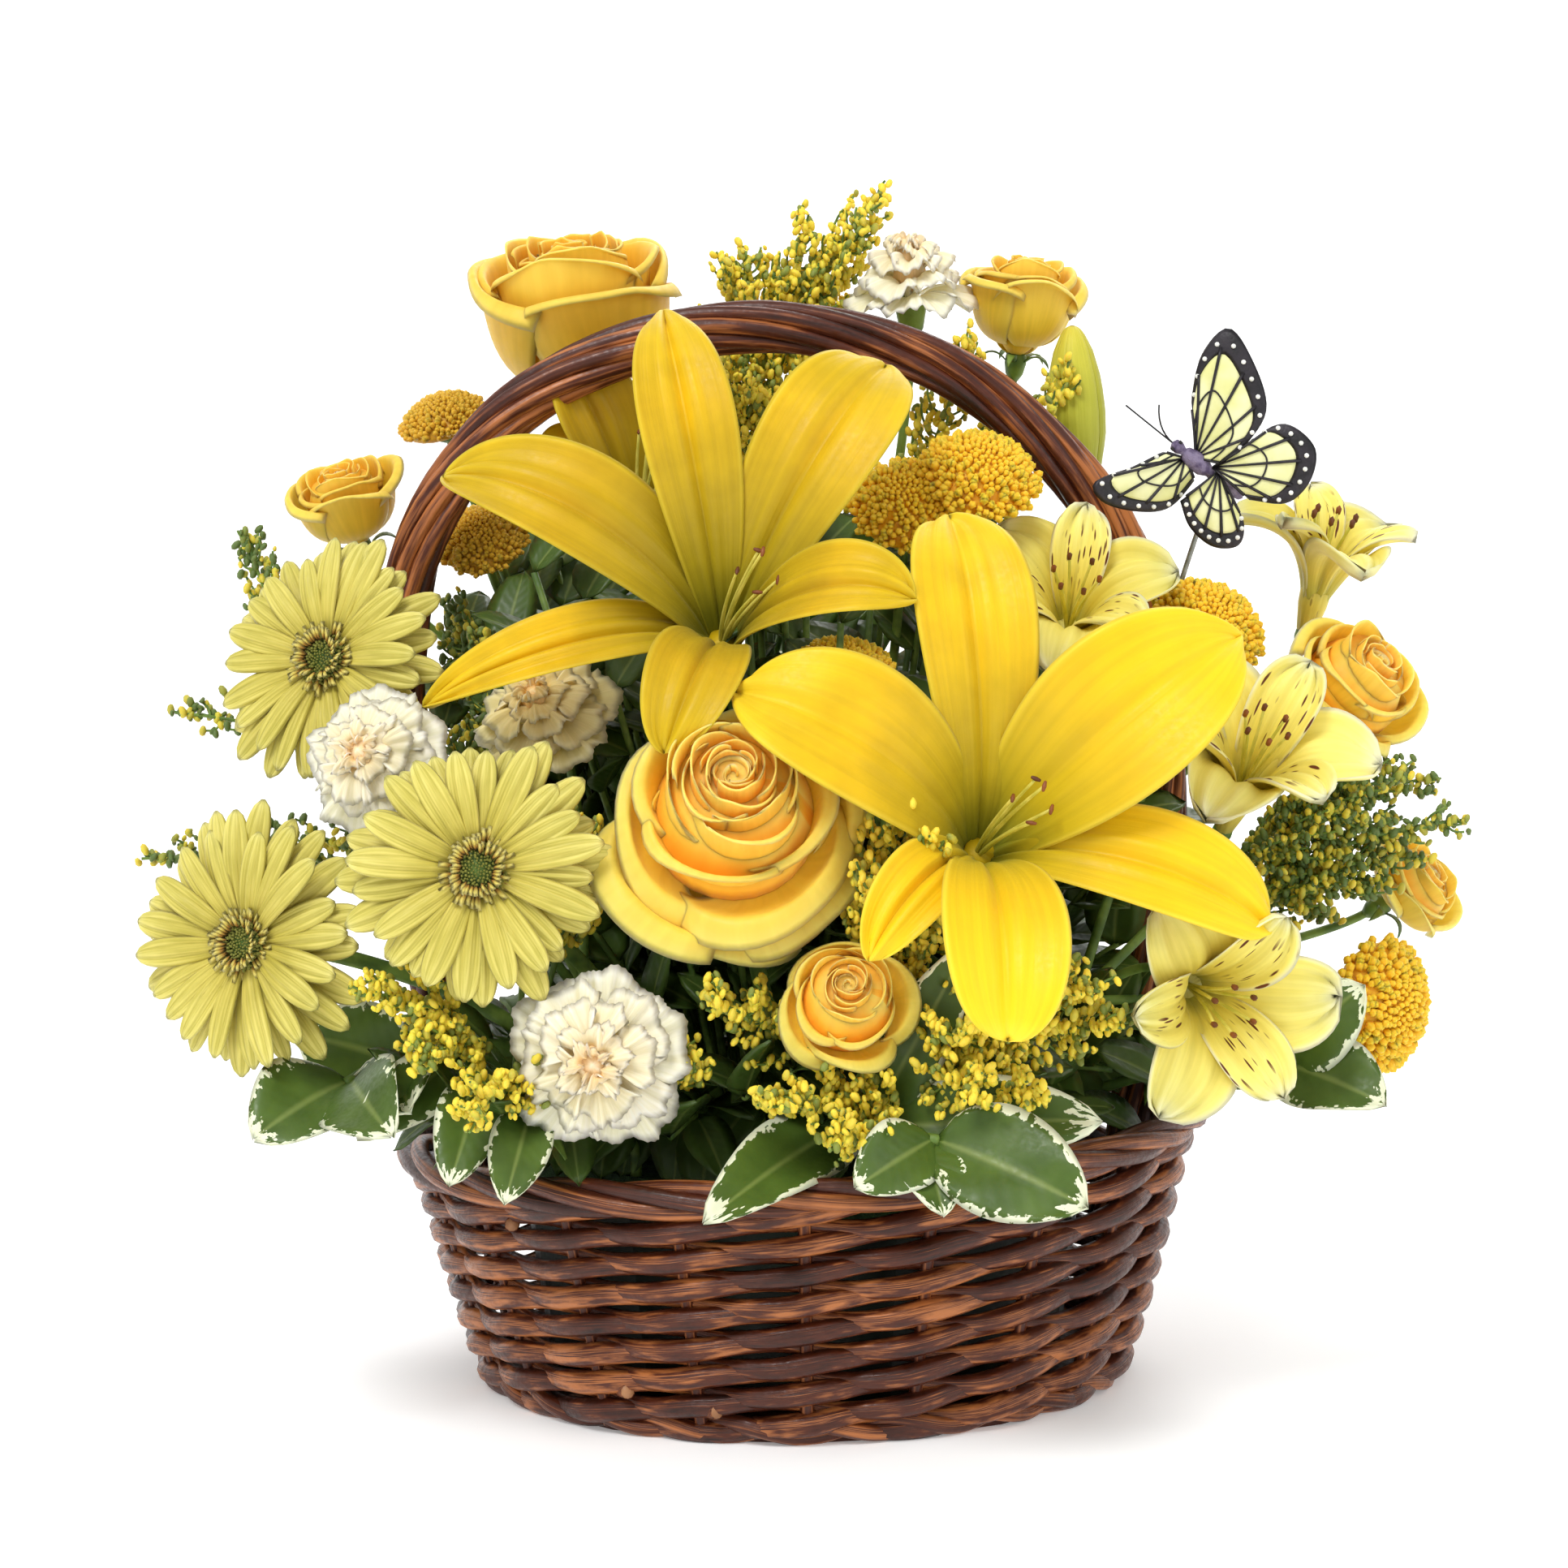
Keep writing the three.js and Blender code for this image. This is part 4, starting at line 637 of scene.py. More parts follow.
def makeWeaveTree():  # each rod passes in front of one stake and behind the next, row above row
    tree, given, out = geoTree("basketWeave", basket)
    rows = put(tree, "GeometryNodeMeshLine", {"Count": given["Rows"], "Offset": (0, 0, 1)}).outputs[0]
    ring = put(tree, "GeometryNodeCurvePrimitiveCircle", {"Resolution": given["Steps"], "Radius": 1.0}).outputs[0]
    rods = put(tree, "GeometryNodeRealizeInstances", {0: spread(tree, rows, ring)}).outputs[0]
    place = put(tree, "ShaderNodeSeparateXYZ", {0: put(tree, "GeometryNodeInputPosition").outputs[0]}).outputs
    rods = store(tree, rods, "row", calc(tree, "ROUND", place[2]))
    rods = store(tree, rods, "turn", calc(tree, "ARCTAN2", place[1], place[0]))
    row, turn = named(tree, "row"), named(tree, "turn")
    x, y = calc(tree, "COSINE", turn), calc(tree, "SINE", turn)
    phase = calc(tree, "MULTIPLY", turn, calc(tree, "MULTIPLY", given["Stakes"], 0.5))
    phase = calc(tree, "MULTIPLY_ADD", row, math.pi, phase)
    share = calc(tree, "DIVIDE", calc(tree, "ADD", row, 0.5), given["Rows"])
    place = vector(tree, calc(tree, "MULTIPLY", x, 4.5), calc(tree, "MULTIPLY", y, 4.5),
                   calc(tree, "MULTIPLY_ADD", row, 7.3, given["Seed"]))
    uneven = put(tree, "ShaderNodeTexNoise", {"Vector": place, "Scale": 1.0, "Detail": 1.0}).outputs[0]
    uneven = calc(tree, "SUBTRACT", uneven, 0.5)
    flare = calc(tree, "SUBTRACT", given["Rim Radius"], given["Foot Radius"])
    radius = calc(tree, "MULTIPLY_ADD", flare, share, given["Foot Radius"])
    curl = calc(tree, "POWER", calc(tree, "SUBTRACT", 1.0, share), 9.0)
    radius = calc(tree, "SUBTRACT", radius, calc(tree, "MULTIPLY", curl, given["Foot Curl"]))
    radius = calc(tree, "MULTIPLY_ADD", calc(tree, "COSINE", phase), given["Sway"], radius)
    radius = calc(tree, "MULTIPLY_ADD", uneven, calc(tree, "MULTIPLY", given["Uneven"], 0.5), radius)
    height = calc(tree, "MULTIPLY", share, calc(tree, "MULTIPLY_ADD", x, given["Rim Tilt"], given["Height"]))
    height = calc(tree, "MULTIPLY_ADD", calc(tree, "SINE", phase), given["Slant"], height)
    height = calc(tree, "MULTIPLY_ADD", uneven, given["Uneven"], height)
    height = calc(tree, "MAXIMUM", height, calc(tree, "MULTIPLY", given["Rod Radius"], 1.25))
    bent = vector(tree, calc(tree, "MULTIPLY", radius, x), calc(tree, "MULTIPLY", radius, y), height)
    rods = put(tree, "GeometryNodeSetPosition", {"Geometry": rods, "Position": bent}).outputs[0]
    index = put(tree, "FunctionNodeFloatToInt", {0: row}).outputs[0]
    passing = put(tree, "FunctionNodeFloatToInt", {0: calc(tree, "DIVIDE", phase, 2 * math.pi)}).outputs[0]
    passing = put(tree, "FunctionNodeFloatToInt", {
        0: calc(tree, "MULTIPLY_ADD", index, 37.0, passing)}).outputs[0]
    rods = store(tree, rods, "shade", randomValue(tree, 0.0, 1.0, 9, passing))
    rods = store(tree, rods, "along", calc(tree, "MULTIPLY", turn, 0.4))
    front = calc(tree, "MULTIPLY_ADD", calc(tree, "COSINE", phase), 0.24, 1.06)
    size = calc(tree, "MULTIPLY", front, randomValue(tree, 0.9, 1.1, 5, index))
    woven = tubes(tree, rods, given["Rod Radius"], 10, size)
    posts = put(tree, "GeometryNodeMeshCircle", {"Vertices": given["Stakes"], "Radius": 1.0}).outputs[0]
    post = put(tree, "GeometryNodeCurvePrimitiveLine", {"Start": (0, 0, 0.03), "End": (0, 0, 1)}).outputs[0]
    posts = put(tree, "GeometryNodeRealizeInstances", {0: spread(tree, posts, post)}).outputs[0]
    place = put(tree, "ShaderNodeSeparateXYZ", {0: put(tree, "GeometryNodeInputPosition").outputs[0]}).outputs
    radius = calc(tree, "MULTIPLY_ADD", flare, place[2], calc(tree, "SUBTRACT", given["Foot Radius"], 0.0005))
    height = calc(tree, "MULTIPLY", place[2], calc(tree, "MULTIPLY_ADD", place[0], given["Rim Tilt"], given["Height"]))
    bent = vector(tree, calc(tree, "MULTIPLY", place[0], radius), calc(tree, "MULTIPLY", place[1], radius), height)
    posts = put(tree, "GeometryNodeSetPosition", {"Geometry": posts, "Position": bent}).outputs[0]
    posts = tubes(tree, store(tree, posts, "shade", 0.3), 0.0021, 8)
    finishTree(tree, join(tree, woven, posts), given["Finish"], out)
    return tree


def makeRopeTree():  # rods twisted round a line: the rolled border, the foot and the hoop handle
    tree, given, out = geoTree("twistedRods", {
        "Steps": 300, "Strands": 6, "Turns": 2.5, "Spread": 0.0052, "Rod Radius": 0.0031, "Uneven": 0.001, "Seed": 1})
    line = put(tree, "GeometryNodeMeshToCurve", {0: given[0]}).outputs[0]
    line = put(tree, "GeometryNodeResampleCurve", {"Curve": line, "Count": given["Steps"]}).outputs[0]
    line = store(tree, line, "along", put(tree, "GeometryNodeSplineParameter").outputs[0])
    copies = put(tree, "GeometryNodeDuplicateElements", {"Geometry": line, "Amount": given["Strands"]}, domain="SPLINE")
    strand = copies.outputs[1]
    rods = store(tree, copies.outputs[0], "row", strand)
    rods = store(tree, rods, "shade", randomValue(tree, 0.0, 1.0, given["Seed"], strand))
    row, along = named(tree, "row"), named(tree, "along")
    turn = calc(tree, "MULTIPLY_ADD", along, given["Turns"], calc(tree, "DIVIDE", row, given["Strands"]))
    turn = calc(tree, "MULTIPLY", turn, 2 * math.pi)
    normal = put(tree, "GeometryNodeInputNormal").outputs[0]
    tangent = put(tree, "GeometryNodeInputTangent").outputs[0]
    side = put(tree, "ShaderNodeVectorMath", {0: tangent, 1: normal}, operation="CROSS_PRODUCT").outputs[0]
    wave = put(tree, "ShaderNodeTexNoise", {
        "Vector": put(tree, "GeometryNodeInputPosition").outputs[0], "Scale": 14.0, "Detail": 1.0, "W": row},
        noise_dimensions="4D").outputs[0]
    wave = calc(tree, "MULTIPLY", calc(tree, "SUBTRACT", wave, 0.5), given["Uneven"])
    reach = calc(tree, "ADD", given["Spread"], wave)
    first = put(tree, "ShaderNodeVectorMath", {
        0: normal, "Scale": calc(tree, "MULTIPLY", calc(tree, "COSINE", turn), reach)}, operation="SCALE").outputs[0]
    second = put(tree, "ShaderNodeVectorMath", {
        0: side, "Scale": calc(tree, "MULTIPLY", calc(tree, "SINE", turn), reach)}, operation="SCALE").outputs[0]
    offset = put(tree, "ShaderNodeVectorMath", {0: first, 1: second}).outputs[0]
    rods = put(tree, "GeometryNodeSetPosition", {"Geometry": rods, "Offset": offset}).outputs[0]
    size = calc(tree, "MULTIPLY_ADD", calc(tree, "DIVIDE", wave, given["Uneven"]), 0.35, 1.0)
    finishTree(tree, tubes(tree, rods, given["Rod Radius"], 10, size), given["Finish"], out)
    return tree


weaveTree = makeWeaveTree()
ropeTree = makeRopeTree()
hoop = {
    "line": [(-97, 42), (-104.5, 76), (-115, 130), (-123, 195), (-118, 254), (-92, 295), (-52, 318), (-8, 325),
             (36, 316), (67, 298), (95, 267), (109, 232), (113, 190), (111, 135), (104.5, 80), (97, 42)],
    "rods": {"Steps": 260, "Strands": 8, "Turns": 2.3, "Spread": 0.0057, "Rod Radius": 0.0026, "Uneven": 0.0016}}
border = {
    "radius": 121, "height": 77, "tilt": 5,
    "rods": {"Steps": 420, "Strands": 4, "Turns": 6.0, "Spread": 0.0031, "Rod Radius": 0.0027, "Seed": 4}}
foot = {
    "radius": 98.5, "height": 4.4,
    "rods": {"Steps": 420, "Strands": 2, "Turns": 13.0, "Spread": 0.0019, "Rod Radius": 0.0026, "Seed": 6}}
cutEnds = {  # where the ends of weaving rods poke out: degrees round the basket, height
    "places": [(238, 14), (253, 10), (222, 62), (20, 30), (75, 18), (120, 52), (165, 22)],
    "radius": 2.2, "length": 6.5, "wallHeight": 74.5, "footRadius": 98.5, "flare": 20.3}


def ringLine(radius, height, tilt=0.0, steps=96):
    angles = [2 * math.pi * i / steps for i in range(steps)]
    return [(radius * math.cos(a), radius * math.sin(a), height + tilt * math.cos(a)) for a in angles]


def makeCutEnds():
    shape = newShape()
    for degrees, height in cutEnds["places"]:
        angle = math.radians(degrees)
        radius = cutEnds["footRadius"] + cutEnds["flare"] * (height / cutEnds["wallHeight"])
        middle = np.array([radius * math.cos(angle), radius * math.sin(angle), height])
        outward, sideways = towards(angle), towards(angle + math.pi / 2)
        heading = outward * 0.62 + sideways * 0.75 + np.array([0, 0, 0.12])
        heading /= np.linalg.norm(heading)
        end = middle + heading * cutEnds["length"]
        addTube(shape, [middle, middle + heading * 4, end - heading * 0.05], cutEnds["radius"], 10, shade=0.6)
        r = cutEnds["radius"]
        matrix = placeMatrix(end - heading * 0.3, heading)
        turnedShape(shape, [(0.01, -0.4), (r * 0.97, -0.3), (r * 0.9, 0.35), (0.01, 0.45)], 10, matrix, finish=1)
    return finishShape(shape, "basket_cut_ends", ["willow", "cutEnd"])


wall = grow("basket_wall_rods", weaveTree, basket, "willow")
footLine = lineObject("footLine", [ringLine(foot["radius"], foot["height"])], closed=True)
footRods = grow("basket_foot_rods", ropeTree, foot["rods"], "willow", footLine)
hand(joinMeshes("basket_wall_weave", [wall, footRods, makeCutEnds()]), "willow", "basket_wall")
borderLine = lineObject("borderLine", [ringLine(border["radius"], border["height"], border["tilt"])], closed=True)
hand(grow("basket_border_rods", ropeTree, border["rods"], "willow", borderLine), "willow", "basket_border")
hoopLine = lineObject("hoopLine", [smoothPath([(x, 0, z) for x, z in hoop["line"]])])
hand(grow("basket_handle_rods", ropeTree, hoop["rods"], "willow", hoopLine), "willow", "basket_handle")
remove(footLine, borderLine, hoopLine)
print("basket ready")

# ---- stems ----


foamHole = {"top": 78.0, "depth": 33}


def backOf(plan, distance):  # a place behind a flower, on its own axis
    return Vector(plan["at"]) - Vector(plan["facing"]).normalized() * distance


def stemPath(start, facing, hole, lead=28, rise=40):  # from a flower's back, bending down into its hole in the foam
    start = np.array(start, float)
    facing = np.array(Vector(facing).normalized())
    mouth = np.array([hole[0], hole[1], foamHole["top"]])
    line = bezier([start, start - facing * lead, mouth + [0, 0, rise], mouth], 26)
    return np.concatenate([line, [mouth - [0, 0, foamHole["depth"]]]])


def branchPath(start, facing, fork, lead=20):
    start = np.array(start, float)
    return bezier([start, start - np.array(Vector(facing).normalized()) * lead, np.array(fork, float)], 14)


def addCalyx(shape, at, facing, radius, length, sepals=5, sepalLength=0.0, spin=0.0):
    base = placeMatrix(at, facing, spin)
    profile = [(0.01, -length), (radius * 0.42, -length), (radius * 0.8, -length * 0.72), (radius, -length * 0.3),
               (radius * 0.94, 0), (radius * 0.4, 1.5), (0.01, 1.6)]
    turnedShape(shape, profile, 12, base, shade=0.4)
    for i in range(sepals if sepalLength else 0):
        outward = towards(2 * math.pi * i / sepals)
        line = [(radius * 0.9, -2), (radius * 1.5, 1), (radius * 1.5 + sepalLength * 0.5, 2),
                (radius * 1.2 + sepalLength * 0.9, -3)]
        surface = petalSurface(outward, line, lambda u: radius * 0.5 * (0.5 + u) * (1 - u ** 2.2), 8, 4, cup=0.25)
        addSheet(shape, placed(surface, base), 0.5, shade=0.5)


def makeStems(name, runs, calyxes):
    shape = newShape()
    for path, radius in runs:
        taper = np.linspace(0.86, 1.0, len(path)) * radius
        addTube(shape, path, taper, 8, shade=0.5)
    for calyx in calyxes:
        addCalyx(shape, *calyx)
    return finishShape(shape, name, ["stem"])


# ---- lilies ----

# a lily's shade sets how dark its petals are painted: lily_1 is set darker than lily_2, partly for its own more golden
# tone and partly as painted shade
lilies = {  # each petal: tip, half width, where it is widest, how sharply it tapers
    "lily_1_petals": {"at": (-22, -45, 226), "facing": (0.05, -0.8, 0.6), "shade": 0.3, "petals": [
        ((-37, -34, 330), 14.5, 0.46, 1.15), ((27, -40, 313), 19, 0.55, 0.7), ((34, -98, 246), 14, 0.45, 0.8),
        ((-38, -114, 204), 14, 0.5, 0.62), ((-108, -78, 216), 11, 0.42, 0.8), ((-103, -56, 282), 18, 0.45, 0.8)]},
    "lily_2_petals": {"at": (51, -75, 166), "facing": (0.15, -0.85, 0.5), "shade": 0.75, "petals": [
        ((46, -66, 268), 18, 0.55, 0.66), ((128, -84, 233), 24, 0.42, 1.2), ((134, -106, 150), 16, 0.5, 0.66),
        ((57, -154, 127), 18, 0.55, 0.5), ((20, -134, 146), 11, 0.5, 0.7), ((-17, -106, 221), 22, 0.5, 0.8)]}}
# the lily behind the others is set darkest: painted shade
hiddenLily = {"at": (-46, 18, 256), "facing": (-0.1, -0.5, 0.85), "shade": 0.1, "petals": [
    ((-67, 8, 309), 15, 0.5, 0.75), ((-36, 20, 300), 13, 0.5, 0.7), ((-78, -2, 286), 12, 0.5, 0.8)]}
lilyPetal = {"thickness": 0.9, "cup": 0.24, "foot": 0.22, "ruffle": 1.6}
lilyStamens = {"length": 46, "shorter": 2, "pistil": 52, "swing": 6, "sweep": (9, 2), "anther": [
    (0.01, -1.7), (0.45, -1.4), (0.7, 0), (0.45, 1.4), (0.01, 1.7)]}
lilyBud = {"at": (91, 32, 268), "facing": (-0.04, -0.02, 1), "profile": [
    (0.01, 0), (3.6, 1), (5, 5), (6.6, 13), (8.3, 22), (8.5, 30), (7.6, 40), (5.4, 49), (2.6, 55), (0.01, 57)]}
lilyLeaves = [  # on the stem: foot, the way it points, length, turn
    ((40, 4, 205), (0.5, -0.3, 0.7), 44, 0.4), ((18, -30, 128), (-0.3, -0.6, 0.6), 50, 0.2)]


def makeLily(name, plan, seed):
    rng = random.Random(seed)
    base = placeMatrix(plan["at"], plan["facing"])
    inverse = base.inverted()
    shape = newShape()
    for number, (tip, width, widest, taper) in enumerate(plan["petals"]):
        local = inverse @ Vector(tip)
        reach, height = math.hypot(local.x, local.y), local.z
        outward = np.array([local.x / reach, local.y / reach, 0])
        root = 4 if number % 2 else 3  # every second petal is an outer one and starts farther out
        line = [(root, 5), (0.18 * reach, max(height, 0) * 0.4 + 0.3 * reach), (0.6 * reach, height + 0.24 * reach),
                (0.9 * reach, height + 0.1 * reach), (reach, height - 0.03 * reach)]
        surface = petalSurface(
            outward, line, lambda u: width * pointed(u, widest, lilyPetal["foot"], taper), 48, 30,
            cup=lilyPetal["cup"], rib=2.0 if width < 20 else 1.2, ruffle=lilyPetal["ruffle"],
            folds=rng.uniform(1.6, 2.4), phase=rng.uniform(0, 6), sway=rng.uniform(-4, 4))
        addSheet(shape, surface, lilyPetal["thickness"], shade=plan["shade"] + rng.uniform(-0.25, 0.25))
    turnedShape(shape, [(0.01, 0), (3.4, 0.4), (5, 6), (4.4, 9), (0.01, 9)], 12, shade=0.2)
    for i in range(5):  # the pistil and four thin stamens, swept to one side
        angle = 2 * math.pi * i / 4
        swing = towards(angle) * (lilyStamens["swing"] if i else 1)
        length = lilyStamens["length"] - lilyStamens["shorter"] * i if i else lilyStamens["pistil"]
        end = np.array([swing[0] + lilyStamens["sweep"][0], swing[1] + lilyStamens["sweep"][1], length])
        line = bezier([(swing[0] * 0.1, swing[1] * 0.1, 5), (swing[0] * 0.3, swing[1] * 0.3, length * 0.5), end], 12)
        addTube(shape, line, np.linspace(0.8, 0.45, 12), 6, finish=1)
        heading = (math.cos(angle + 1.4), math.sin(angle + 1.4), 0.25)
        turnedShape(shape, lilyStamens["anther"], 8, placeMatrix(end, heading), finish=2)
    return finishShape(shape, name, ["lily", "filament", "pollen"], base)


def makeLilyStem():
    fork = (8, -22, 150)
    runs = []
    for plan in lilies.values():
        runs.append((branchPath(plan["at"], plan["facing"], fork, 22), 2.2))
    runs.append((branchPath(lilyBud["at"], lilyBud["facing"], fork, 60), 2.0))
    runs.append((stemPath((8, -22, 152), (0, 0, 1), (8, -14), 20, 30), 3.0))
    shape = newShape()
    for path, radius in runs:
        addTube(shape, path, radius, 8)
    base = placeMatrix(lilyBud["at"], lilyBud["facing"])
    steps = np.linspace(0, 1, len(lilyBud["profile"]))
    for i in range(3):  # a closed bud shows three outer petals with a seam between each two
        outward = towards(2 * math.pi * i / 3 + 0.4)
        u, v = sheetGrid(22, 14)
        heights = np.interp(u, steps, [h for _, h in lilyBud["profile"]])
        radii = np.interp(u, steps, [r for r, _ in lilyBud["profile"]])
        radii = radii * (1 + 0.1 * np.cos(v * math.pi / 2) - 0.05) + 0.3
        angle = v * math.pi / 3 * 1.08
        side = np.cross([0, 0, 1], outward)
        surface = (radii * np.cos(angle))[..., None] * outward + (radii * np.sin(angle))[..., None] * side
        surface = surface + heights[..., None] * np.array([0, 0, 1.0])
        addSheet(shape, placed(surface, base), 0.8, shade=0.3 + 0.2 * i, finish=1)
    for at, facing, length, spin in lilyLeaves:
        line = [(0, 0), (length * 0.3, length * 0.3), (length * 0.7, length * 0.36), (length, length * 0.1)]
        surface = petalSurface(towards(0), line, lambda u: 7 * np.sin(math.pi * u ** 0.8) + 0.2, 16, 6)
        addSheet(shape, placed(surface, placeMatrix(at, facing, spin)), 0.6)
    return finishShape(shape, "lily_stem_and_bud", ["stem", "bud"])


for number, (node, plan) in enumerate(lilies.items()):
    hand(makeLily(node.replace("_petals", "_flower"), plan, 11 + number), "lily", node)
hand(makeLily("lily_behind", hiddenLily, 15), "lily")
hand(makeLilyStem(), "stem", "lily_stem")
print("lilies ready")

# ---- roses ----

roses = {
    "rose_1": {"at": (-19, -92, 174), "facing": (0.02, -0.88, 0.46), "size": 0.98, "open": 1.0, "tall": 1.0, "cup": 0.0,
               "lean": 0.26, "hole": (-6, -50), "loose": [  # outer petals: where they point, reach, top, roll, wave
                   (-2.5, 36, 20, 1.0, 2.2), (-1.75, 35, 7, 0.6, 2.6), (-0.75, 34, 15, 0.9, 2.4),
                   (0.5, 35, 20, 0.7, 2.6)]},
    "rose_2": {"at": (-66, 58, 304), "facing": (-0.1, -0.22, 0.97), "size": 0.99, "open": 1.0, "tall": 1.42,
               "cup": 0.76, "flare": 0.3, "lean": -0.1, "finish": "rosePale", "hole": (-26, 30)},
    "spray_rose_1": {"at": (12, -110, 127), "facing": (0.05, -0.9, 0.4), "size": 0.56, "open": 1.0, "tall": 1.0,
                     "cup": 0.1, "lean": 0.2},
    "spray_rose_2": {"at": (-137, 24, 260), "facing": (-0.22, -0.35, 0.9), "size": 0.54, "open": 0.9, "tall": 1.3,
                     "cup": 0.72, "flare": 0.5, "lean": -0.1, "finish": "rosePale"},
    "spray_rose_3": {"at": (72, 46, 316), "facing": (0.12, -0.12, 0.98), "size": 0.58, "open": 0.9, "tall": 1.45,
                     "cup": 0.7, "flare": 0.6, "lean": -0.1, "finish": "rosePale"},
    "spray_rose_4": {"at": (163, -12, 205), "facing": (0.55, -0.6, 0.55), "size": 0.66, "open": 1.0, "tall": 1.1,
                     "cup": 0.2, "lean": 0.15},
    "spray_rose_5": {"at": (184, 8, 143), "facing": (0.7, -0.45, 0.5), "size": 0.56, "open": 0.9, "tall": 1.0,
                     "cup": 0.3, "lean": 0.0}}
roseRounds = [  # petals in the round, reach, top, root, roll of the rim, half span, arch of the rim
    (3, 6.5, 37, 14, 0.0, 1.6, 0.05), (3, 9.5, 38, 12, 0.02, 1.5, 0.08), (3, 13, 38, 11, 0.04, 1.4, 0.1),
    (3, 16.5, 37.5, 9, 0.06, 1.4, 0.2), (3, 20.5, 36.5, 7, 0.14, 1.35, 0.45), (3, 26.5, 31.5, 14, 0.5, 1.4, 0.7),
    (3, 31.5, 24, 10, 0.85, 1.35, 0.8)]
sprayRounds = [
    (3, 8, 37, 12, 0.0, 1.6, 0.05), (3, 13, 37.5, 10, 0.04, 1.45, 0.1), (3, 19, 36.5, 7, 0.14, 1.35, 0.4),
    (4, 25.5, 31, 14, 0.55, 1.2, 0.7), (4, 32, 24, 10, 0.7, 1.1, 0.9)]
roseHeart = [  # petals packed inside the scrolls, as one turned form: radius, height
    (0.01, 8), (16, 9), (24, 13), (24, 19), (20, 26), (17, 31), (8, 32.5), (0.01, 32.5)]
rosePetal = {"thickness": 0.55, "drop": 16, "tuck": 9, "tip": 1.2, "closedTop": 37, "leanReach": 27}


def addRosePetal(shape, angle, plan, shade, depth, tilt, wave):
    reach, top, root, roll, span, arch = plan
    rows, columns = 20, 20
    u, v = sheetGrid(rows, columns)
    rise = top - root
    line = bezier([(2.0, root), (reach * 1.06, root), (reach * 0.98, top - 0.42 * rise), (reach * 0.88, top + 1.6),
                   (reach * (0.93 + 0.3 * roll), top - 6.5 * roll)], rows + 1)
    radius = np.broadcast_to(line[:, :1], u.shape).copy()
    height = np.broadcast_to(line[:, 1:], u.shape).copy()
    turn = v * span * (0.4 + 0.6 * np.sin(0.62 * math.pi * u))
    height -= arch * rosePetal["drop"] * np.abs(v) ** 2.2 * u ** 2  # the rim falls away to both sides
    radius -= arch * rosePetal["tuck"] * np.abs(v) ** 3 * u
    height += rosePetal["tip"] * np.exp(-(v / 0.2) ** 2) * u ** 6
    radius += tilt * v * u + 0.6 * roll * np.sin(4 * v + angle) * u ** 2
    height += wave * 0.55 * u ** 3 * np.sin(2.6 * v + angle * 3)
    radius += wave * 0.5 * u ** 3 * np.cos(3.1 * v + angle * 5)
    x, y = radius * np.cos(angle + turn), radius * np.sin(angle + turn)
    addSheet(shape, np.stack([x, y, height], axis=-1), rosePetal["thickness"], shade, depth)


def makeRose(name, plan, seed):
    rng = random.Random(seed)
    shape = newShape()
    for k in range(3):  # tight scrolls at the heart
        u, v = sheetGrid(10, 36)
        turn = (v + 1) * 2.6 + k * 2.1
        radius = (0.8 + 1.9 * (v + 1) + 1.0 * k) * (0.7 + 0.3 * u ** 2)
        height = 15 + (35.5 - 0.6 * (v + 1) - 15) * u + 0.5 * np.sin(turn * 1.3) * u
        surface = np.stack([radius * np.cos(turn), radius * np.sin(turn), height], axis=-1)
        addSheet(shape, surface, 0.6, 0.3 + 0.2 * k, 0.02 + 0.05 * k)
    turnedShape(shape, roseHeart, 24, shade=0.5, depth=0.45)
    rounds = sprayRounds if "spray" in name else roseRounds
    cup, flare = plan["cup"], plan.get("flare", 0)
    for number, (count, reach, top, root, roll, span, arch) in enumerate(rounds):
        depth = (number + 0.6) / len(rounds)
        opening = 1 if depth < 0.5 else 0.62 + 0.38 * plan["open"]
        top = top * (1 - cup) + rosePetal["closedTop"] * cup
        for k in range(count):
            angle = 2 * math.pi * k / count + number * 1.25 + rng.uniform(-0.3, 0.3)
            ownReach = (reach + rng.uniform(-0.8, 0.8)) * opening
            ownTop = top + rng.uniform(-1.4, 0.6) * (1 + depth)
            ownRoll = roll * (1 - 0.75 * cup) * rng.uniform(0.7, 1.2) + flare * depth
            petal = (ownReach, ownTop, root - 9 * cup, ownRoll, span, arch * (1 - 0.6 * cup))
            addRosePetal(shape, angle, petal, rng.uniform(0.2, 0.8), depth, rng.uniform(0.8, 2.4), 1.0 + 4.2 * depth)
    for angle, reach, top, roll, wave in plan.get("loose", []):
        addRosePetal(shape, angle, (reach, top, 0, roll, 0.8, 0.55), rng.uniform(0.4, 0.8), 1.0, 1.0, wave)
    for points in shape["points"]:  # the heart leans to one side
        share = np.exp(-(np.hypot(points[:, 0], points[:, 1]) / rosePetal["leanReach"]) ** 4)
        points[:, 1] += plan["lean"] * np.clip(points[:, 2], 0, None) * share
    stretch = Matrix.Diagonal((1, 1, plan["tall"], 1))
    place = placeMatrix(plan["at"], plan["facing"], 0, plan["size"])
    return finishShape(shape, name, [plan.get("finish", "rose")], place @ stretch)


for number, (name, plan) in enumerate(roses.items()):
    hand(makeRose(name + "_flower", plan, 31 + number), "rose", name + "_petals")
    if "hole" in plan:
        path = stemPath(backOf(plan, 10), plan["facing"], plan["hole"])
        calyx = (tuple(plan["at"]), plan["facing"], 6, 12, 5, 14)
        stems = makeStems(name + "_stem_leaves", [(path, 2.8)], [calyx])
        hand(stems, "stem", name + "_stem")
print("roses ready")

# ---- branched stems of the smaller roses ----

sprayStems = {
    "spray_rose_stem_front": {"flowers": ["spray_rose_1"], "fork": (6, -66, 112), "hole": (10, -60)},
    "spray_rose_stem_back": {"flowers": ["spray_rose_2", "spray_rose_3"], "fork": (-10, 44, 160), "hole": (-8, 38)},
    "spray_rose_stem_right": {"flowers": ["spray_rose_4", "spray_rose_5"], "fork": (98, 22, 118), "hole": (58, 12)}}


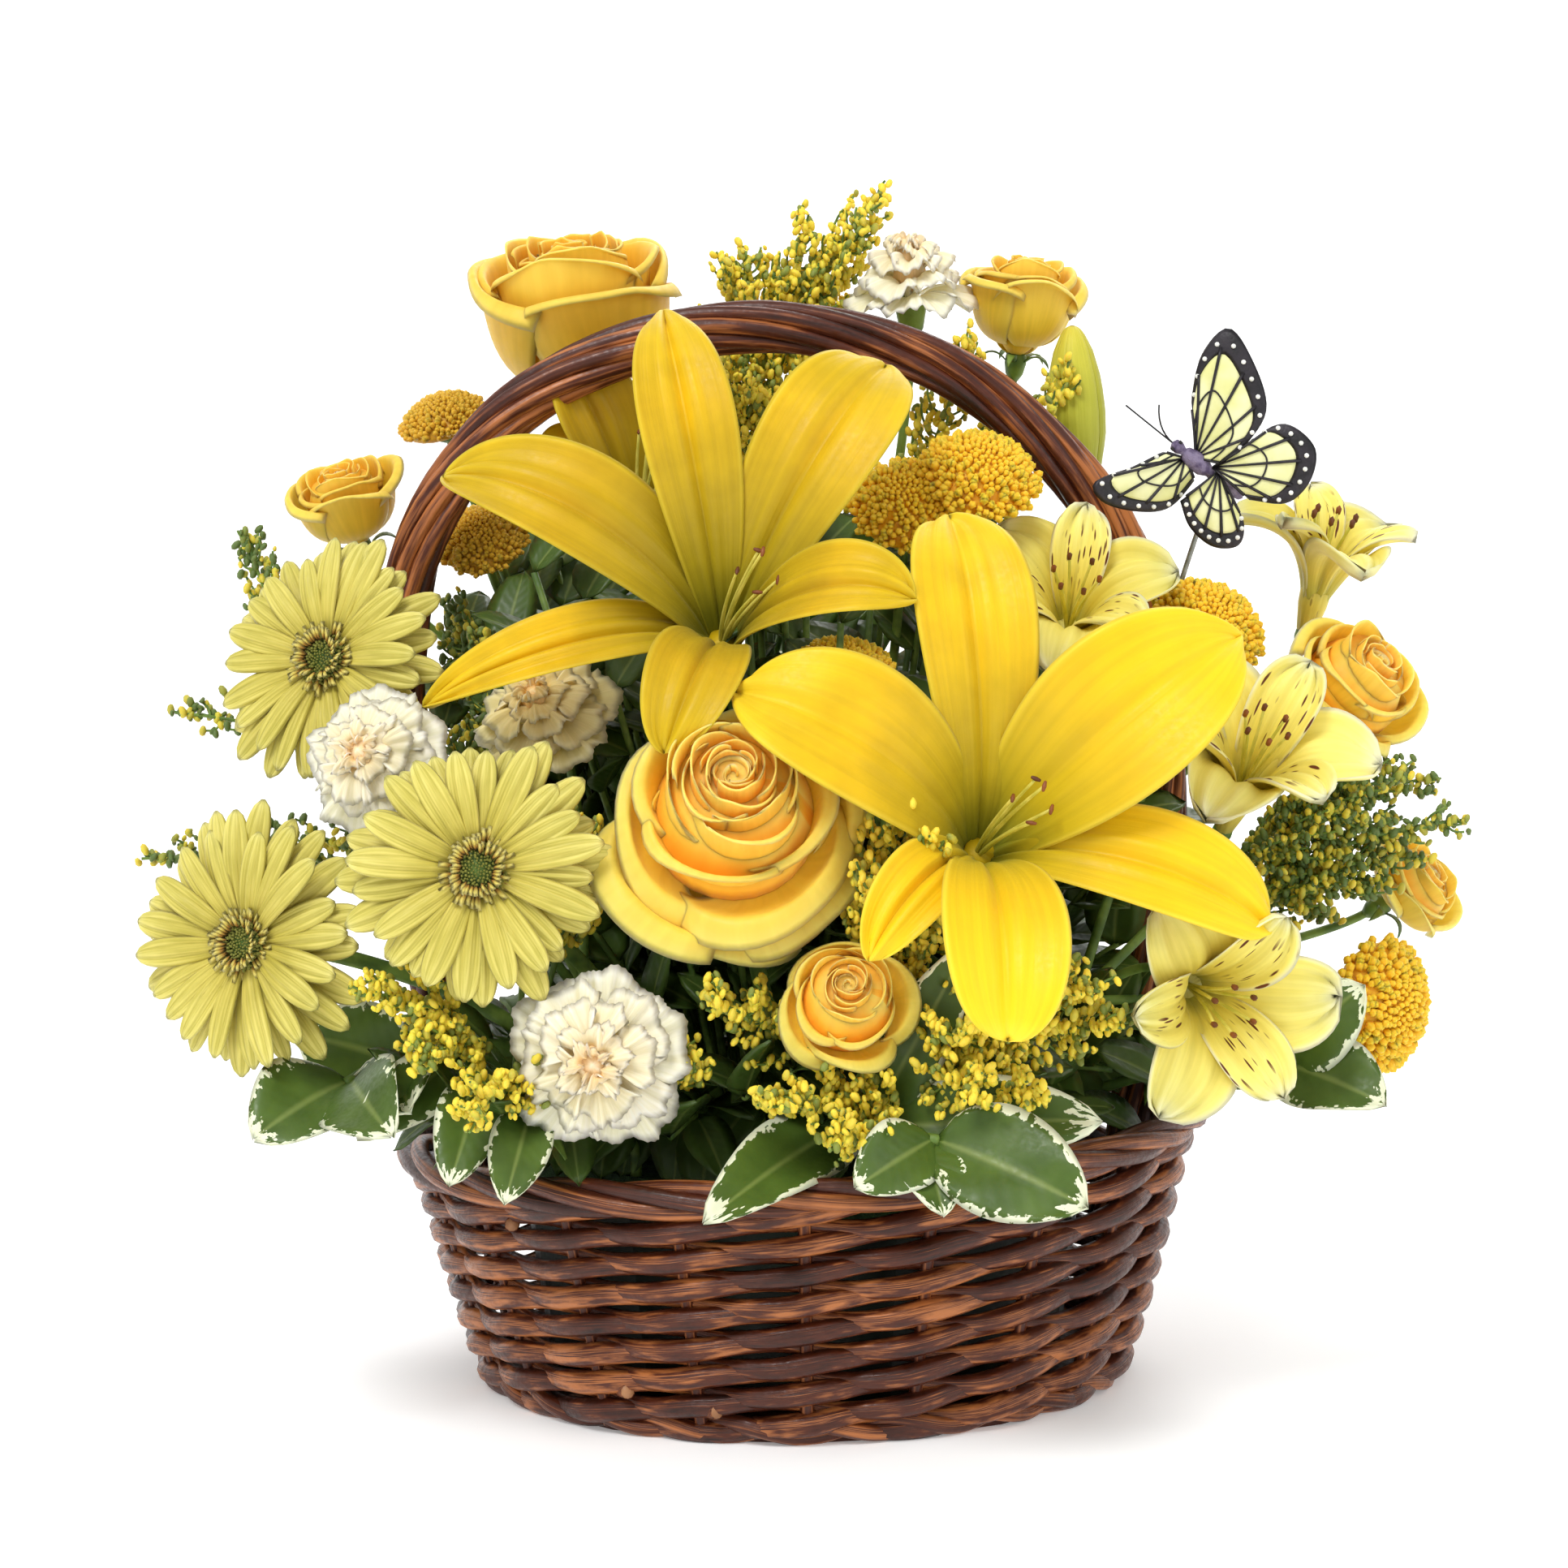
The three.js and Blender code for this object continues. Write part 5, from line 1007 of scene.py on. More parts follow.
def makeSpray(name, plan, flowers, calyx):  # one stem that forks to several flowers
    radius, length, sepal = calyx
    fork = np.array(plan["fork"], float)
    runs = [(stemPath(fork + [0, 0, 2], (0, 0, 1), plan["hole"], 12, 14), 2.2)]
    calyxes = []
    for number, flower in enumerate(flowers):
        runs.append((branchPath(backOf(flower, length - 1), flower["facing"], fork), 1.6))
        calyxes.append((tuple(flower["at"]), flower["facing"], radius, length, 5, sepal, number * 0.7))
    return makeStems(name + "_branches", runs, calyxes)


for node, plan in sprayStems.items():
    hand(makeSpray(node, plan, [roses[key] for key in plan["flowers"]], (3.6, 8, 9)), "stem", node)
print("rose sprays ready")

# ---- flower heads of many florets ----


def makeHeadTree():  # florets in golden-angle order over a dome, the young ones in the middle upright
    tree, given, out = geoTree("floretHead", {
        "Florets": 170, "Radius": 0.017, "Dome": 0.0105, "Inner Size": 0.45, "Outer Size": 1.0, "Lean": 0.95,
        "Uneven": 0.22, "Height": 0.0, "Seed": 1})
    index = put(tree, "GeometryNodeInputIndex").outputs[0]
    points = put(tree, "GeometryNodePoints", {"Count": given["Florets"]}).outputs[0]
    share = calc(tree, "DIVIDE", calc(tree, "ADD", index, 0.5), given["Florets"])
    root = calc(tree, "SQRT", share)
    turn = calc(tree, "MULTIPLY", index, golden)
    turn = calc(tree, "ADD", turn, randomValue(tree, -0.12, 0.12, given["Seed"]))
    x, y = calc(tree, "COSINE", turn), calc(tree, "SINE", turn)
    radius = calc(tree, "MULTIPLY", root, given["Radius"])
    height = calc(tree, "MULTIPLY", calc(tree, "SUBTRACT", 1.0, share), given["Dome"])
    height = calc(tree, "ADD", height, given["Height"])
    place = vector(tree, calc(tree, "MULTIPLY", radius, x), calc(tree, "MULTIPLY", radius, y), height)
    points = put(tree, "GeometryNodeSetPosition", {"Geometry": points, "Position": place}).outputs[0]
    lean = calc(tree, "MULTIPLY", calc(tree, "POWER", root, 1.3), calc(tree, "MULTIPLY", given["Lean"], math.pi / 2))
    lean = calc(tree, "MULTIPLY", lean, randomValue(tree, 0.85, 1.12, calc(tree, "ADD", given["Seed"], 4)))
    angles = vector(tree, 0.0, lean, turn)
    rotation = put(tree, "FunctionNodeEulerToRotation", {0: angles}).outputs[0]
    size = remap(tree, root, 0.0, 0.75, given["Inner Size"], given["Outer Size"])
    low = calc(tree, "SUBTRACT", 1.0, given["Uneven"])
    uneven = put(tree, "FunctionNodeRandomValue", {2: low, 3: 1.1, 8: calc(tree, "ADD", given["Seed"], 2)}).outputs[1]
    size = calc(tree, "MULTIPLY", size, uneven)
    heads = spread(tree, points, given[0], rotation, vector(tree, size, size, size))
    heads = store(tree, heads, "depth", root, "INSTANCE")
    heads = store(tree, heads, "shade", randomValue(tree, 0.0, 1.0, given["Seed"]), "INSTANCE")
    finishTree(tree, heads, given["Finish"], out)
    return tree


def makeRayTree():  # long rays in whorls round the head
    tree, given, out = geoTree("rayWhorls", {
        "Rays": 20, "Whorls": 3, "Lift": 0.16, "Lift Step": 0.11, "Shrink": 0.1, "Uneven": 0.09, "Height": 0.0,
        "Seed": 1})
    index = put(tree, "GeometryNodeInputIndex").outputs[0]
    total = calc(tree, "MULTIPLY", given["Rays"], given["Whorls"])
    points = put(tree, "GeometryNodePoints", {"Count": total}).outputs[0]
    whorl = calc(tree, "FLOOR", calc(tree, "DIVIDE", index, given["Rays"]))
    step = calc(tree, "DIVIDE", 2 * math.pi, given["Rays"])
    turn = calc(tree, "MULTIPLY", calc(tree, "MULTIPLY_ADD", whorl, 0.382, index), step)
    turn = calc(tree, "ADD", turn, randomValue(tree, -0.06, 0.06, given["Seed"]))
    lift = calc(tree, "MULTIPLY_ADD", whorl, given["Lift Step"], given["Lift"])
    lift = calc(tree, "ADD", lift, randomValue(tree, -0.11, 0.11, calc(tree, "ADD", given["Seed"], 3)))
    roll = randomValue(tree, -0.22, 0.22, calc(tree, "ADD", given["Seed"], 5))
    angles = vector(tree, roll, calc(tree, "MULTIPLY", lift, -1.0), turn)
    rotation = put(tree, "FunctionNodeEulerToRotation", {0: angles}).outputs[0]
    size = calc(tree, "SUBTRACT", 1.0, calc(tree, "MULTIPLY", whorl, given["Shrink"]))
    low = calc(tree, "SUBTRACT", 1.0, given["Uneven"])
    uneven = put(tree, "FunctionNodeRandomValue", {2: low, 3: 1.02, 8: calc(tree, "ADD", given["Seed"], 7)}).outputs[1]
    size = calc(tree, "MULTIPLY", size, uneven)
    place = vector(tree, 0.0, 0.0, calc(tree, "MULTIPLY_ADD", whorl, 0.0007, given["Height"]))
    points = put(tree, "GeometryNodeSetPosition", {"Geometry": points, "Position": place}).outputs[0]
    rays = spread(tree, points, given[0], rotation, vector(tree, size, size, size))
    rays = store(tree, rays, "shade", randomValue(tree, 0.0, 1.0, given["Seed"]), "INSTANCE")
    finishTree(tree, rays, given["Finish"], out)
    return tree


headTree = makeHeadTree()
rayTree = makeRayTree()


def moved(piece, matrix):  # the mesh itself is placed, so the object stays at the origin
    scaled = matrix.copy()
    scaled.translation = matrix.translation * mm
    piece.data.transform(scaled)
    piece.data.update()
    return piece


def budFloret(name, radius, length):
    shape = newShape()
    turnedShape(shape, [(0.01, 0), (radius, length * 0.3), (radius * 0.8, length * 0.8), (0.01, length)], 5)
    return finishShape(shape, name, ["gerberaEye"])


# ---- gerberas ----

gerberas = {
    "gerbera_1": {"at": (-139, -46, 226), "facing": (-0.42, -0.8, 0.3), "reach": 39, "hole": (-52, -6)},
    "gerbera_2": {"at": (-91, -110, 170), "facing": (0.02, -0.98, 0.16), "reach": 39.5, "hole": (-38, -46)},
    "gerbera_3": {"at": (-161, -73, 145), "facing": (-0.5, -0.84, 0.12), "reach": 41, "hole": (-62, -34)}}
gerberaRays = {"Rays": 20, "Whorls": 2, "Lift": 0.0, "Lift Step": 0.16, "Shrink": 0.07, "Uneven": 0.14, "Height": 0.001}
gerberaFringe = {"Rays": 44, "Whorls": 2, "Lift": 0.3, "Lift Step": 0.3, "Shrink": 0.16, "Uneven": 0.2,
                 "Height": 0.0022}
gerberaEye = {"Florets": 240, "Radius": 0.0082, "Dome": 0.002, "Inner Size": 0.6, "Outer Size": 1.0, "Lean": 0.2,
              "Height": 0.0032}
gerberaBack = [(0.01, -10), (2.6, -9.6), (7, -6), (10.4, -2.5), (9.6, 1.5), (8.2, 3.4), (0.01, 5)]  # radius, height


def rayWidth(u):  # slender at the foot, blunt at the tip
    rise = 0.34 + 0.66 * np.sin(np.clip(u / 0.68, 0, 1) * math.pi / 2)
    tip = np.clip(1.004 - np.clip((u - 0.62) / 0.38, 0, 1) ** 2.4, 0.02, 1)
    return 5.0 * rise * tip ** 0.5


def makeRay(reach):
    shape = newShape()
    line = [(5, -0.4), (reach * 0.35, 3.4), (reach * 0.75, 2.4), (reach * 1.03, -2.6)]
    surface = petalSurface(towards(0), line, rayWidth, 18, 12, cup=-0.2)
    across = np.linspace(-1, 1, 13)
    groove = 0.8 * np.cos(across * math.pi * 2.5) * (1 - 0.7 * np.abs(across))  # two grooves along the ray
    surface[..., 2] += groove[None, :] * np.sin(math.pi * np.linspace(0, 1, 19))[:, None] ** 0.5
    addSheet(shape, surface, 0.7)
    return finishShape(shape, "ray", ["gerbera"])


def makeFringe():  # one of the small florets between the rays and the eye
    shape = newShape()
    line = [(7.5, 0), (9, 0.6), (11, 0.9), (12.8, 0.4)]
    surface = petalSurface(towards(0), line, lambda u: 0.5 + 0.45 * u, 3, 2, cup=-0.5)
    addSheet(shape, surface, 0.5)
    return finishShape(shape, "fringe", ["gerbera"])


for number, (name, plan) in enumerate(gerberas.items()):
    place = placeMatrix(plan["at"], plan["facing"], 0.1)
    ray, fringe, floret = makeRay(plan["reach"]), makeFringe(), budFloret("eyeFloret", 0.6, 1.7)
    rays = grow("rays", rayTree, {**gerberaRays, "Seed": 5 + number}, "gerbera", ray)
    trans = grow("transRays", rayTree, {**gerberaFringe, "Seed": 9 + number}, "gerberaFringe", fringe)
    hand(moved(joinMeshes(name + "_petals", [rays, trans]), place), "gerbera", name + "_rays")
    eye = moved(grow("eye", headTree, {**gerberaEye, "Seed": 3 + number}, "gerberaEye", floret), place)
    shape = newShape()
    turnedShape(shape, gerberaBack, 20, place)
    addTube(shape, stemPath(backOf(plan, 8), plan["facing"], plan["hole"]), 2.5, 10)
    hand(joinMeshes(name + "_eye_and_stem", [finishShape(shape, "head", ["stem"]), eye]), "stem", name + "_stem")
    remove(ray, fringe, floret)
print("gerberas ready")

# ---- button chrysanthemums ----

mums = {
    "mum_1": {"at": (34, -22, 268), "facing": (0, -0.78, 0.62), "radius": 17.5},
    "mum_2": {"at": (56, -22, 276), "facing": (0.15, -0.66, 0.74), "radius": 19},
    "mum_3": {"at": (124, -22, 229), "facing": (0.25, -0.75, 0.6), "radius": 18.5},
    "mum_4": {"at": (172, -40, 118), "facing": (0.66, -0.75, 0), "radius": 21},
    # mum_5 and mum_6 take the darker copy of the mum colours: painted shade
    "mum_5": {"at": (-110, 34, 296), "facing": (-0.25, -0.4, 0.88), "radius": 14.5, "finish": "mumPaintedShade"},
    "mum_6": {"at": (-98, 24, 258), "facing": (-0.1, -0.7, 0.7), "radius": 15, "finish": "mumPaintedShade"},
    "mum_7": {"at": (13, -42, 218), "facing": (0, -0.45, 0.9), "radius": 17}}
mumStems = {
    "mum_stem_centre": {"flowers": ["mum_1", "mum_2", "mum_7"], "fork": (24, -4, 168), "hole": (24, 6)},
    "mum_stem_right": {"flowers": ["mum_3", "mum_4"], "fork": (84, -26, 118), "hole": (52, -22)},
    "mum_stem_left": {"flowers": ["mum_5", "mum_6"], "fork": (-62, 24, 176), "hole": (-40, 16)}}
mumHead = {"Florets": 340, "Inner Size": 0.75, "Outer Size": 1.15, "Lean": 0.66, "Uneven": 0.25}
mumCore = [  # under the florets, in shares of the head's radius: radius, height
    (0.01, -0.1), (0.5, -0.08), (0.84, 0.02), (0.9, 0.14), (0.76, 0.3), (0.5, 0.5), (0.25, 0.59), (0.01, 0.62)]


def makeMum(name, plan, seed):
    radius = plan["radius"]
    finish = plan.get("finish", "mum")
    floret = budFloret("blunt", 0.066 * radius, 0.17 * radius)
    values = {**mumHead, "Radius": radius * 0.9 * mm, "Dome": radius * 0.5 * mm, "Height": radius * 0.1 * mm,
              "Seed": seed}
    head = grow("florets", headTree, values, finish, floret)
    remove(floret)
    shape = newShape()
    turnedShape(shape, [(r * radius, h * radius) for r, h in mumCore], 20, depth=0.3)
    core = finishShape(shape, "core", [finish])
    return moved(joinMeshes(name + "_florets", [head, core]), placeMatrix(plan["at"], plan["facing"]))


heads = {name: makeMum(name, plan, 41 + number) for number, (name, plan) in enumerate(mums.items())}
hand(joinMeshes("mum_1_2_florets", [heads.pop("mum_1"), heads.pop("mum_2")]), "mum", "mum_1_2_heads")
for name, head in heads.items():
    hand(head, "mum", name + "_head")
for node, plan in mumStems.items():
    hand(makeSpray(node, plan, [mums[key] for key in plan["flowers"]], (5.0, 5, 0)), "stem", node)
print("chrysanthemums ready")

# ---- carnations ----

carnations = {
    "carnation_1": {"at": (-123, -78, 199), "facing": (-0.3, -0.9, 0.3), "radius": 22},
    "carnation_2": {"at": (-57, -114, 116), "facing": (-0.12, -0.98, 0.05), "radius": 26},
    # carnation_3 takes the darker, warmer copy of the carnation colours: painted shade
    "carnation_3": {"at": (-74, -52, 208), "facing": (-0.3, -0.6, 0.7), "radius": 23, "finish": "carnationPaintedShade"},
    "carnation_4": {"at": (38, 34, 334), "facing": (-0.02, -0.2, 0.98), "radius": 20, "tall": 1.5},
    "carnation_5": {"at": (2, 34, 292), "facing": (0, -0.5, 0.87), "radius": 16, "tall": 1.3}}
carnationStems = {
    "carnation_stem_front": {"flowers": ["carnation_1", "carnation_2", "carnation_3"], "fork": (-66, -34, 122),
                             "hole": (-30, -24)},
    "carnation_stem_back": {"flowers": ["carnation_4", "carnation_5"], "fork": (18, 28, 190), "hole": (8, 16)}}
carnationRounds = [  # petals in the round, reach, height, half span, ruffle
    (5, 27, 0, 0.74, 2.0), (5, 22.5, 5, 0.74, 2.2), (5, 17, 10, 0.78, 2.2), (4, 11.5, 14, 0.95, 2.0),
    (4, 6.5, 16.5, 1.1, 1.6)]
carnationRadius = 26  # of the flower that the rounds are drawn for


def addFan(shape, rng, angle, reach, height, span, ruffle, depth):
    rows, columns = 12, 36
    u, v = sheetGrid(rows, columns)
    line = bezier([(1.5, -3), (1.5 + 0.12 * reach, 0.9 * height + 3), (0.5 * reach, height + 3.2), (reach, height - 1)],
                  rows + 1)
    slope = np.gradient(line, axis=0)
    slope /= np.linalg.norm(slope, axis=1, keepdims=True)
    folds, phase = rng.uniform(1.3, 1.9), rng.uniform(0, 6)
    lift = ruffle * u ** 1.6 * np.sin(folds * math.pi * v + phase) + 0.7 * u ** 5 * np.sin(6.3 * math.pi * v + phase)
    extra = -0.2 * reach * v ** 2 * u ** 2 + 0.04 * reach * u ** 2 * np.cos(folds * 2 * math.pi * v + phase)
    extra[-1, 1:-1:2] += 0.4  # the fan's edge is an arc with small teeth
    radius = line[:, :1] - slope[:, 1:] * lift + slope[:, :1] * extra
    rise = line[:, 1:] + slope[:, :1] * lift + slope[:, 1:] * extra
    turn = angle + span * v * (0.45 + 0.55 * u)
    sideways = 1.2 * u ** 2 * np.cos(folds * math.pi * v + phase)
    x = radius * np.cos(turn) - sideways * np.sin(turn)
    y = radius * np.sin(turn) + sideways * np.cos(turn)
    addSheet(shape, np.stack([x, y, rise], axis=-1), 0.5, rng.uniform(0.2, 0.9), depth)


def makeCarnation(name, plan, seed):
    rng = random.Random(seed)
    shape = newShape()
    for number, (count, reach, height, span, ruffle) in enumerate(carnationRounds):
        for k in range(count):
            angle = 2 * math.pi * k / count + number * 0.6 + rng.uniform(-0.25, 0.25)
            addFan(shape, rng, angle, reach + rng.uniform(-1.5, 1.5), height + rng.uniform(-1.5, 1.5), span,
                   ruffle * rng.uniform(0.8, 1.2), 1 - (number + 0.5) / len(carnationRounds))
    turnedShape(shape, [(0.01, 0), (7, 6), (5, 14), (0.01, 15.5)], 12, shade=0.5, depth=0.05)
    stretch = Matrix.Diagonal((1, 1, plan.get("tall", 1), 1))
    place = placeMatrix(plan["at"], plan["facing"], 0, plan["radius"] / carnationRadius)
    return finishShape(shape, name, [plan.get("finish", "carnation")], place @ stretch)


for number, (name, plan) in enumerate(carnations.items()):
    hand(makeCarnation(name + "_ruffles", plan, 61 + number), "carnation", name + "_petals")
for node, plan in carnationStems.items():
    hand(makeSpray(node, plan, [carnations[key] for key in plan["flowers"]], (4.8, 13, 0)), "stem", node)
print("carnations ready")

# ---- alstroemerias ----

alstroemerias = {
    "alstroemeria_1": {"at": (82, -12, 222), "facing": (0.05, -0.72, 0.65), "spin": 0.3, "length": 44},
    "alstroemeria_2": {"at": (128, -40, 172), "facing": (0.2, -0.66, 0.72), "spin": 0.1, "length": 50},
    "alstroemeria_3": {"at": (109, -64, 131), "facing": (0.3, -0.93, -0.1), "spin": 0.35, "length": 50},
    "alstroemeria_4": {"at": (160, 14, 228), "facing": (0.2, -0.28, 0.93), "spin": 0.8, "length": 42}}
alstroemeriaStems = {
    "alstroemeria_stem_centre": {"flowers": ["alstroemeria_1", "alstroemeria_4"], "fork": (74, 16, 150),
                                 "hole": (40, 20)},
    "alstroemeria_stem_right": {"flowers": ["alstroemeria_2", "alstroemeria_3"], "fork": (78, -42, 116),
                                "hole": (36, -38)}}
alstroemeriaPetals = [  # outer and inner, in shares of the flower's length where they are sizes
    {"root": 8, "reach": 0.74, "bend": 0.86, "tip": 0.72, "halfWidth": 13.5, "depth": 0.15},
    {"root": 10, "reach": 0.62, "bend": 0.92, "tip": 0.92, "halfWidth": 9.5, "depth": 0.9}]


def makeAlstroemeria(name, plan, seed):
    rng = random.Random(seed)
    length = plan["length"]
    shape = newShape()
    for k in range(6):
        petal = alstroemeriaPetals[k % 2]
        line = [(3.2, petal["root"]), (5, 0.62 * length), (0.36 * length, petal["bend"] * length),
                (length * petal["reach"], length * petal["tip"])]
        surface = petalSurface(
            towards(math.pi * k / 3 + rng.uniform(-0.08, 0.08)), line,
            lambda u: petal["halfWidth"] * length / 46 * pointed(u, 0.66, 0.16, 0.5), 24, 18, cup=0.3, rib=0.9,
            ruffle=2.6, folds=3.0, phase=rng.uniform(0, 6))
        addSheet(shape, surface, 0.7, rng.uniform(0.3, 0.9), petal["depth"])
    turnedShape(shape, [(0.01, 0), (3, 0.5), (4.6, 9), (4.9, 14), (3.6, 15), (0.01, 13)], 12, shade=0.3)
    for k in range(6):
        angle = math.pi * k / 3 + 0.5
        end = np.append(towards(angle)[:2] * 7, length * 0.92)
        line = bezier([(0, 0, 12), np.append(towards(angle)[:2] * 2, length * 0.6), end], 10)
        addTube(shape, line, np.linspace(0.7, 0.45, 10), 5, finish=1)
        turnedShape(shape, [(0.01, -1.8), (0.8, -1), (0.9, 0.8), (0.01, 1.8)], 6, placeMatrix(end), finish=2)
    base = placeMatrix(plan["at"], plan["facing"], plan["spin"])
    return finishShape(shape, name, ["alstroemeria", "filament", "pollen"], base)


for number, (name, plan) in enumerate(alstroemerias.items()):
    hand(makeAlstroemeria(name + "_flower", plan, 71 + number), "alstroemeria", name + "_petals")
for node, plan in alstroemeriaStems.items():
    flowers = [alstroemerias[key] for key in plan["flowers"]]
    hand(makeSpray(node, plan, flowers, (3.2, 7, 0)), "stem", node)
print("alstroemerias ready")

# ---- goldenrod ----

goldenrods = {
    "goldenrod_top": {"hole": (0, 54), "fork": (-14, 52, 200), "plumes": [
        ((30, 42, 367), (-2, 54, 350)), ((-20, 36, 346), None), ((-26, 22, 312), None), ((56, 17, 322), (40, 10, 262)),
        ((16, 44, 353), (-6, 50, 320)), ((7, 40, 360), (-8, 46, 326)), ((-5, 38, 343), None), ((-10, 24, 306), None),
        ((2, 24, 296), (0, 26, 250)), ((88, 22, 312), (70, 20, 262)), ((62, 24, 300), (48, 22, 250)),
        ((24, 40, 358), (2, 50, 330)), ((-14, 40, 350), (-16, 48, 320)), ((14, 30, 306), (8, 32, 260))]},
    "goldenrod_left": {"green": True, "hole": (-56, 14), "fork": (-92, 22, 140), "plumes": [
        ((-171, 12, 264), (-164, 14, 220)), ((-194, 6, 208), None), ((-203, -10, 164), None),
        ((-108, 19, 238), None), ((-96, -8, 232), (-92, 0, 190)), ((-84, 2, 214), (-80, 6, 180)),
        ((-104, -24, 200), (-96, -8, 168))]},
    "goldenrod_front_left": {"hole": (-50, -58), "fork": (-84, -82, 104), "plumes": [
        ((-126, -106, 134), None), ((-92, -134, 104), None), ((-110, -112, 116), None),
        ((-62, -84, 182), (-66, -84, 150)), ((-76, -78, 188), (-80, -76, 150)), ((-30, -112, 112), (-44, -98, 106))]},
    "goldenrod_front": {"hole": (34, -62), "fork": (40, -86, 100), "plumes": [
        ((-10, -138, 106), (14, -104, 100)), ((48, -138, 108), None), ((84, -118, 134), None),
        ((28, -108, 188), (18, -92, 150)), ((-27, -120, 134), (0, -94, 118)), ((38, -112, 178), (30, -96, 148)),
        ((44, -128, 122), None), ((66, -132, 104), None), ((92, -108, 122), None), ((20, -118, 168), (22, -96, 140)),
        ((12, -136, 96), (18, -112, 96)), ((60, -120, 138), (50, -98, 124))]},
    "goldenrod_right": {"green": True, "hole": (60, -12), "fork": (112, -22, 118), "plumes": [
        ((204, -26, 172), None), ((186, -30, 186), None), ((180, -32, 154), None), ((192, -20, 160), None),
        ((172, -36, 176), None), ((196, -14, 184), None)]}}
plumeShape = {
    "branchlets": 32, "flowering": 0.55, "longest": 22.0, "leaves": 9, "leafFoot": 82,
    "leafLine": [(1, 0), (10, 6), (19, 5), (26, -3)], "leafHalf": 2.6,
    "twig": {"taper": 0.72, "side": 0.72, "forward": 0.62, "rise": 0.12},
    "beads": {"Bead": 0.0014, "Spacing": 0.0015, "Scatter": 0.0013, "Stalk": 0.0004, "Seed": 2}}


def makePlumeTree():  # thin branchlets with small flower beads crowded along them
    tree, given, out = geoTree("plume", plumeShape["beads"])
    lines = put(tree, "GeometryNodeMeshToCurve", {0: given[0]}).outputs[0]
    twigs = tubes(tree, lines, given["Stalk"], 5)
    twigs = put(tree, "GeometryNodeSetMaterial", {"Geometry": twigs, "Material": finishes["stem"]}).outputs[0]
    points = put(tree, "GeometryNodeCurveToPoints", {
        "Curve": lines, "Length": given["Spacing"]}, mode="LENGTH").outputs[0]
    jump = put(tree, "FunctionNodeRandomValue", {
        0: (-1, -1, -1), 1: (1, 1, 1), 8: given["Seed"]}, data_type="FLOAT_VECTOR").outputs[0]
    jump = put(tree, "ShaderNodeVectorMath", {0: jump, "Scale": given["Scatter"]}, operation="SCALE").outputs[0]
    points = put(tree, "GeometryNodeSetPosition", {"Geometry": points, "Offset": jump}).outputs[0]
    bead = put(tree, "GeometryNodeMeshUVSphere", {"Segments": 5, "Rings": 4, "Radius": given["Bead"]}).outputs[0]
    bead = put(tree, "GeometryNodeTransform", {"Geometry": bead, "Scale": (0.8, 0.8, 1.25)}).outputs[0]
    turn = put(tree, "FunctionNodeRandomValue", {
        0: (-0.8, -0.8, 0), 1: (0.8, 0.8, 6.2), 8: calc(tree, "ADD", given["Seed"], 1)},
        data_type="FLOAT_VECTOR").outputs[0]
    turn = put(tree, "FunctionNodeEulerToRotation", {0: turn}).outputs[0]
    size = randomValue(tree, 0.6, 1.25, calc(tree, "ADD", given["Seed"], 3))
    beads = spread(tree, points, bead, turn, vector(tree, size, size, size))
    beads = store(tree, beads, "shade", randomValue(tree, 0.0, 1.0, given["Seed"]), "INSTANCE")
    beads = put(tree, "GeometryNodeRealizeInstances", {0: beads}).outputs[0]
    beads = put(tree, "GeometryNodeSetMaterial", {"Geometry": beads, "Material": given["Finish"]}).outputs[0]
    tree.links.new(join(tree, twigs, beads), out[0])
    return tree


plumeTree = makePlumeTree()


def branchlets(path, rng, count, longest):  # side twigs along the flowering end, shorter toward the tip
    path = np.asarray(path)
    twig = plumeShape["twig"]
    lines = [path[int(len(path) * 0.9):]]
    heading = path[-1] - path[-3]
    heading /= np.linalg.norm(heading)
    for k in range(count):
        share = (k + 0.3) / count
        at = path[min(int(share * (len(path) - 1)), len(path) - 2)]
        outward = np.array([rng.uniform(-1, 1), rng.uniform(-1, 1), rng.uniform(-0.5, 0.8)])
        outward -= heading * outward.dot(heading)
        outward /= max(np.linalg.norm(outward), 1e-6)
        length = longest * (1 - twig["taper"] * share) * rng.uniform(0.6, 1.1)
        end = at + outward * length * twig["side"] + heading * length * twig["forward"]
        end = end + np.array([0, 0, twig["rise"] * length])
        lines.append(bezier([at, at + outward * length * 0.6, end], 7))
    return lines


def makeGoldenrod(name, plan, seed):
    rng = random.Random(seed)
    fork = np.array(plan["fork"], float)
    shape = newShape()
    addTube(shape, stemPath(fork + [0, 0, 2], (0, 0, 1), plan["hole"], 10, 12), 1.8, 8)
    sprigs = []
    for tip, bend in plan["plumes"]:
        tip = np.array(tip, float)
        lift = fork + (tip - fork) * [0.3, 0.3, 0.8] + [0, 0, 6]
        path = bezier([fork, np.array(bend, float) if bend else lift, tip], 40)
        addTube(shape, path, np.linspace(1.2, 0.5, len(path)), 6)
        flowering = path[int(len(path) * (1 - plumeShape["flowering"])):]
        sprigs.extend(branchlets(flowering, rng, plumeShape["branchlets"], plumeShape["longest"]))
    for k in range(plumeShape["leaves"]):  # slender leaves up the lower stem
        share = 0.15 + 0.08 * k
        at = fork * [1, 1, share] + [0, 0, (1 - share) * plumeShape["leafFoot"]]
        place = placeMatrix(at, (rng.uniform(-0.4, 0.4), rng.uniform(-0.4, 0.1), 1), rng.uniform(0, 6.3))
        surface = petalSurface(towards(0), plumeShape["leafLine"],
                               lambda u: plumeShape["leafHalf"] * np.sin(math.pi * u ** 0.8) + 0.05, 10, 4, cup=0.3)
        addSheet(shape, placed(surface, place), 0.4)
    lines = lineObject("sprigs", sprigs)
    finish = "goldenrodGreen" if plan.get("green") else "goldenrod"
    beads = grow("beads", plumeTree, {**plumeShape["beads"], "Seed": seed}, finish, lines)
    remove(lines)
    return joinMeshes(name, [finishShape(shape, "stalks", ["stem"]), beads])


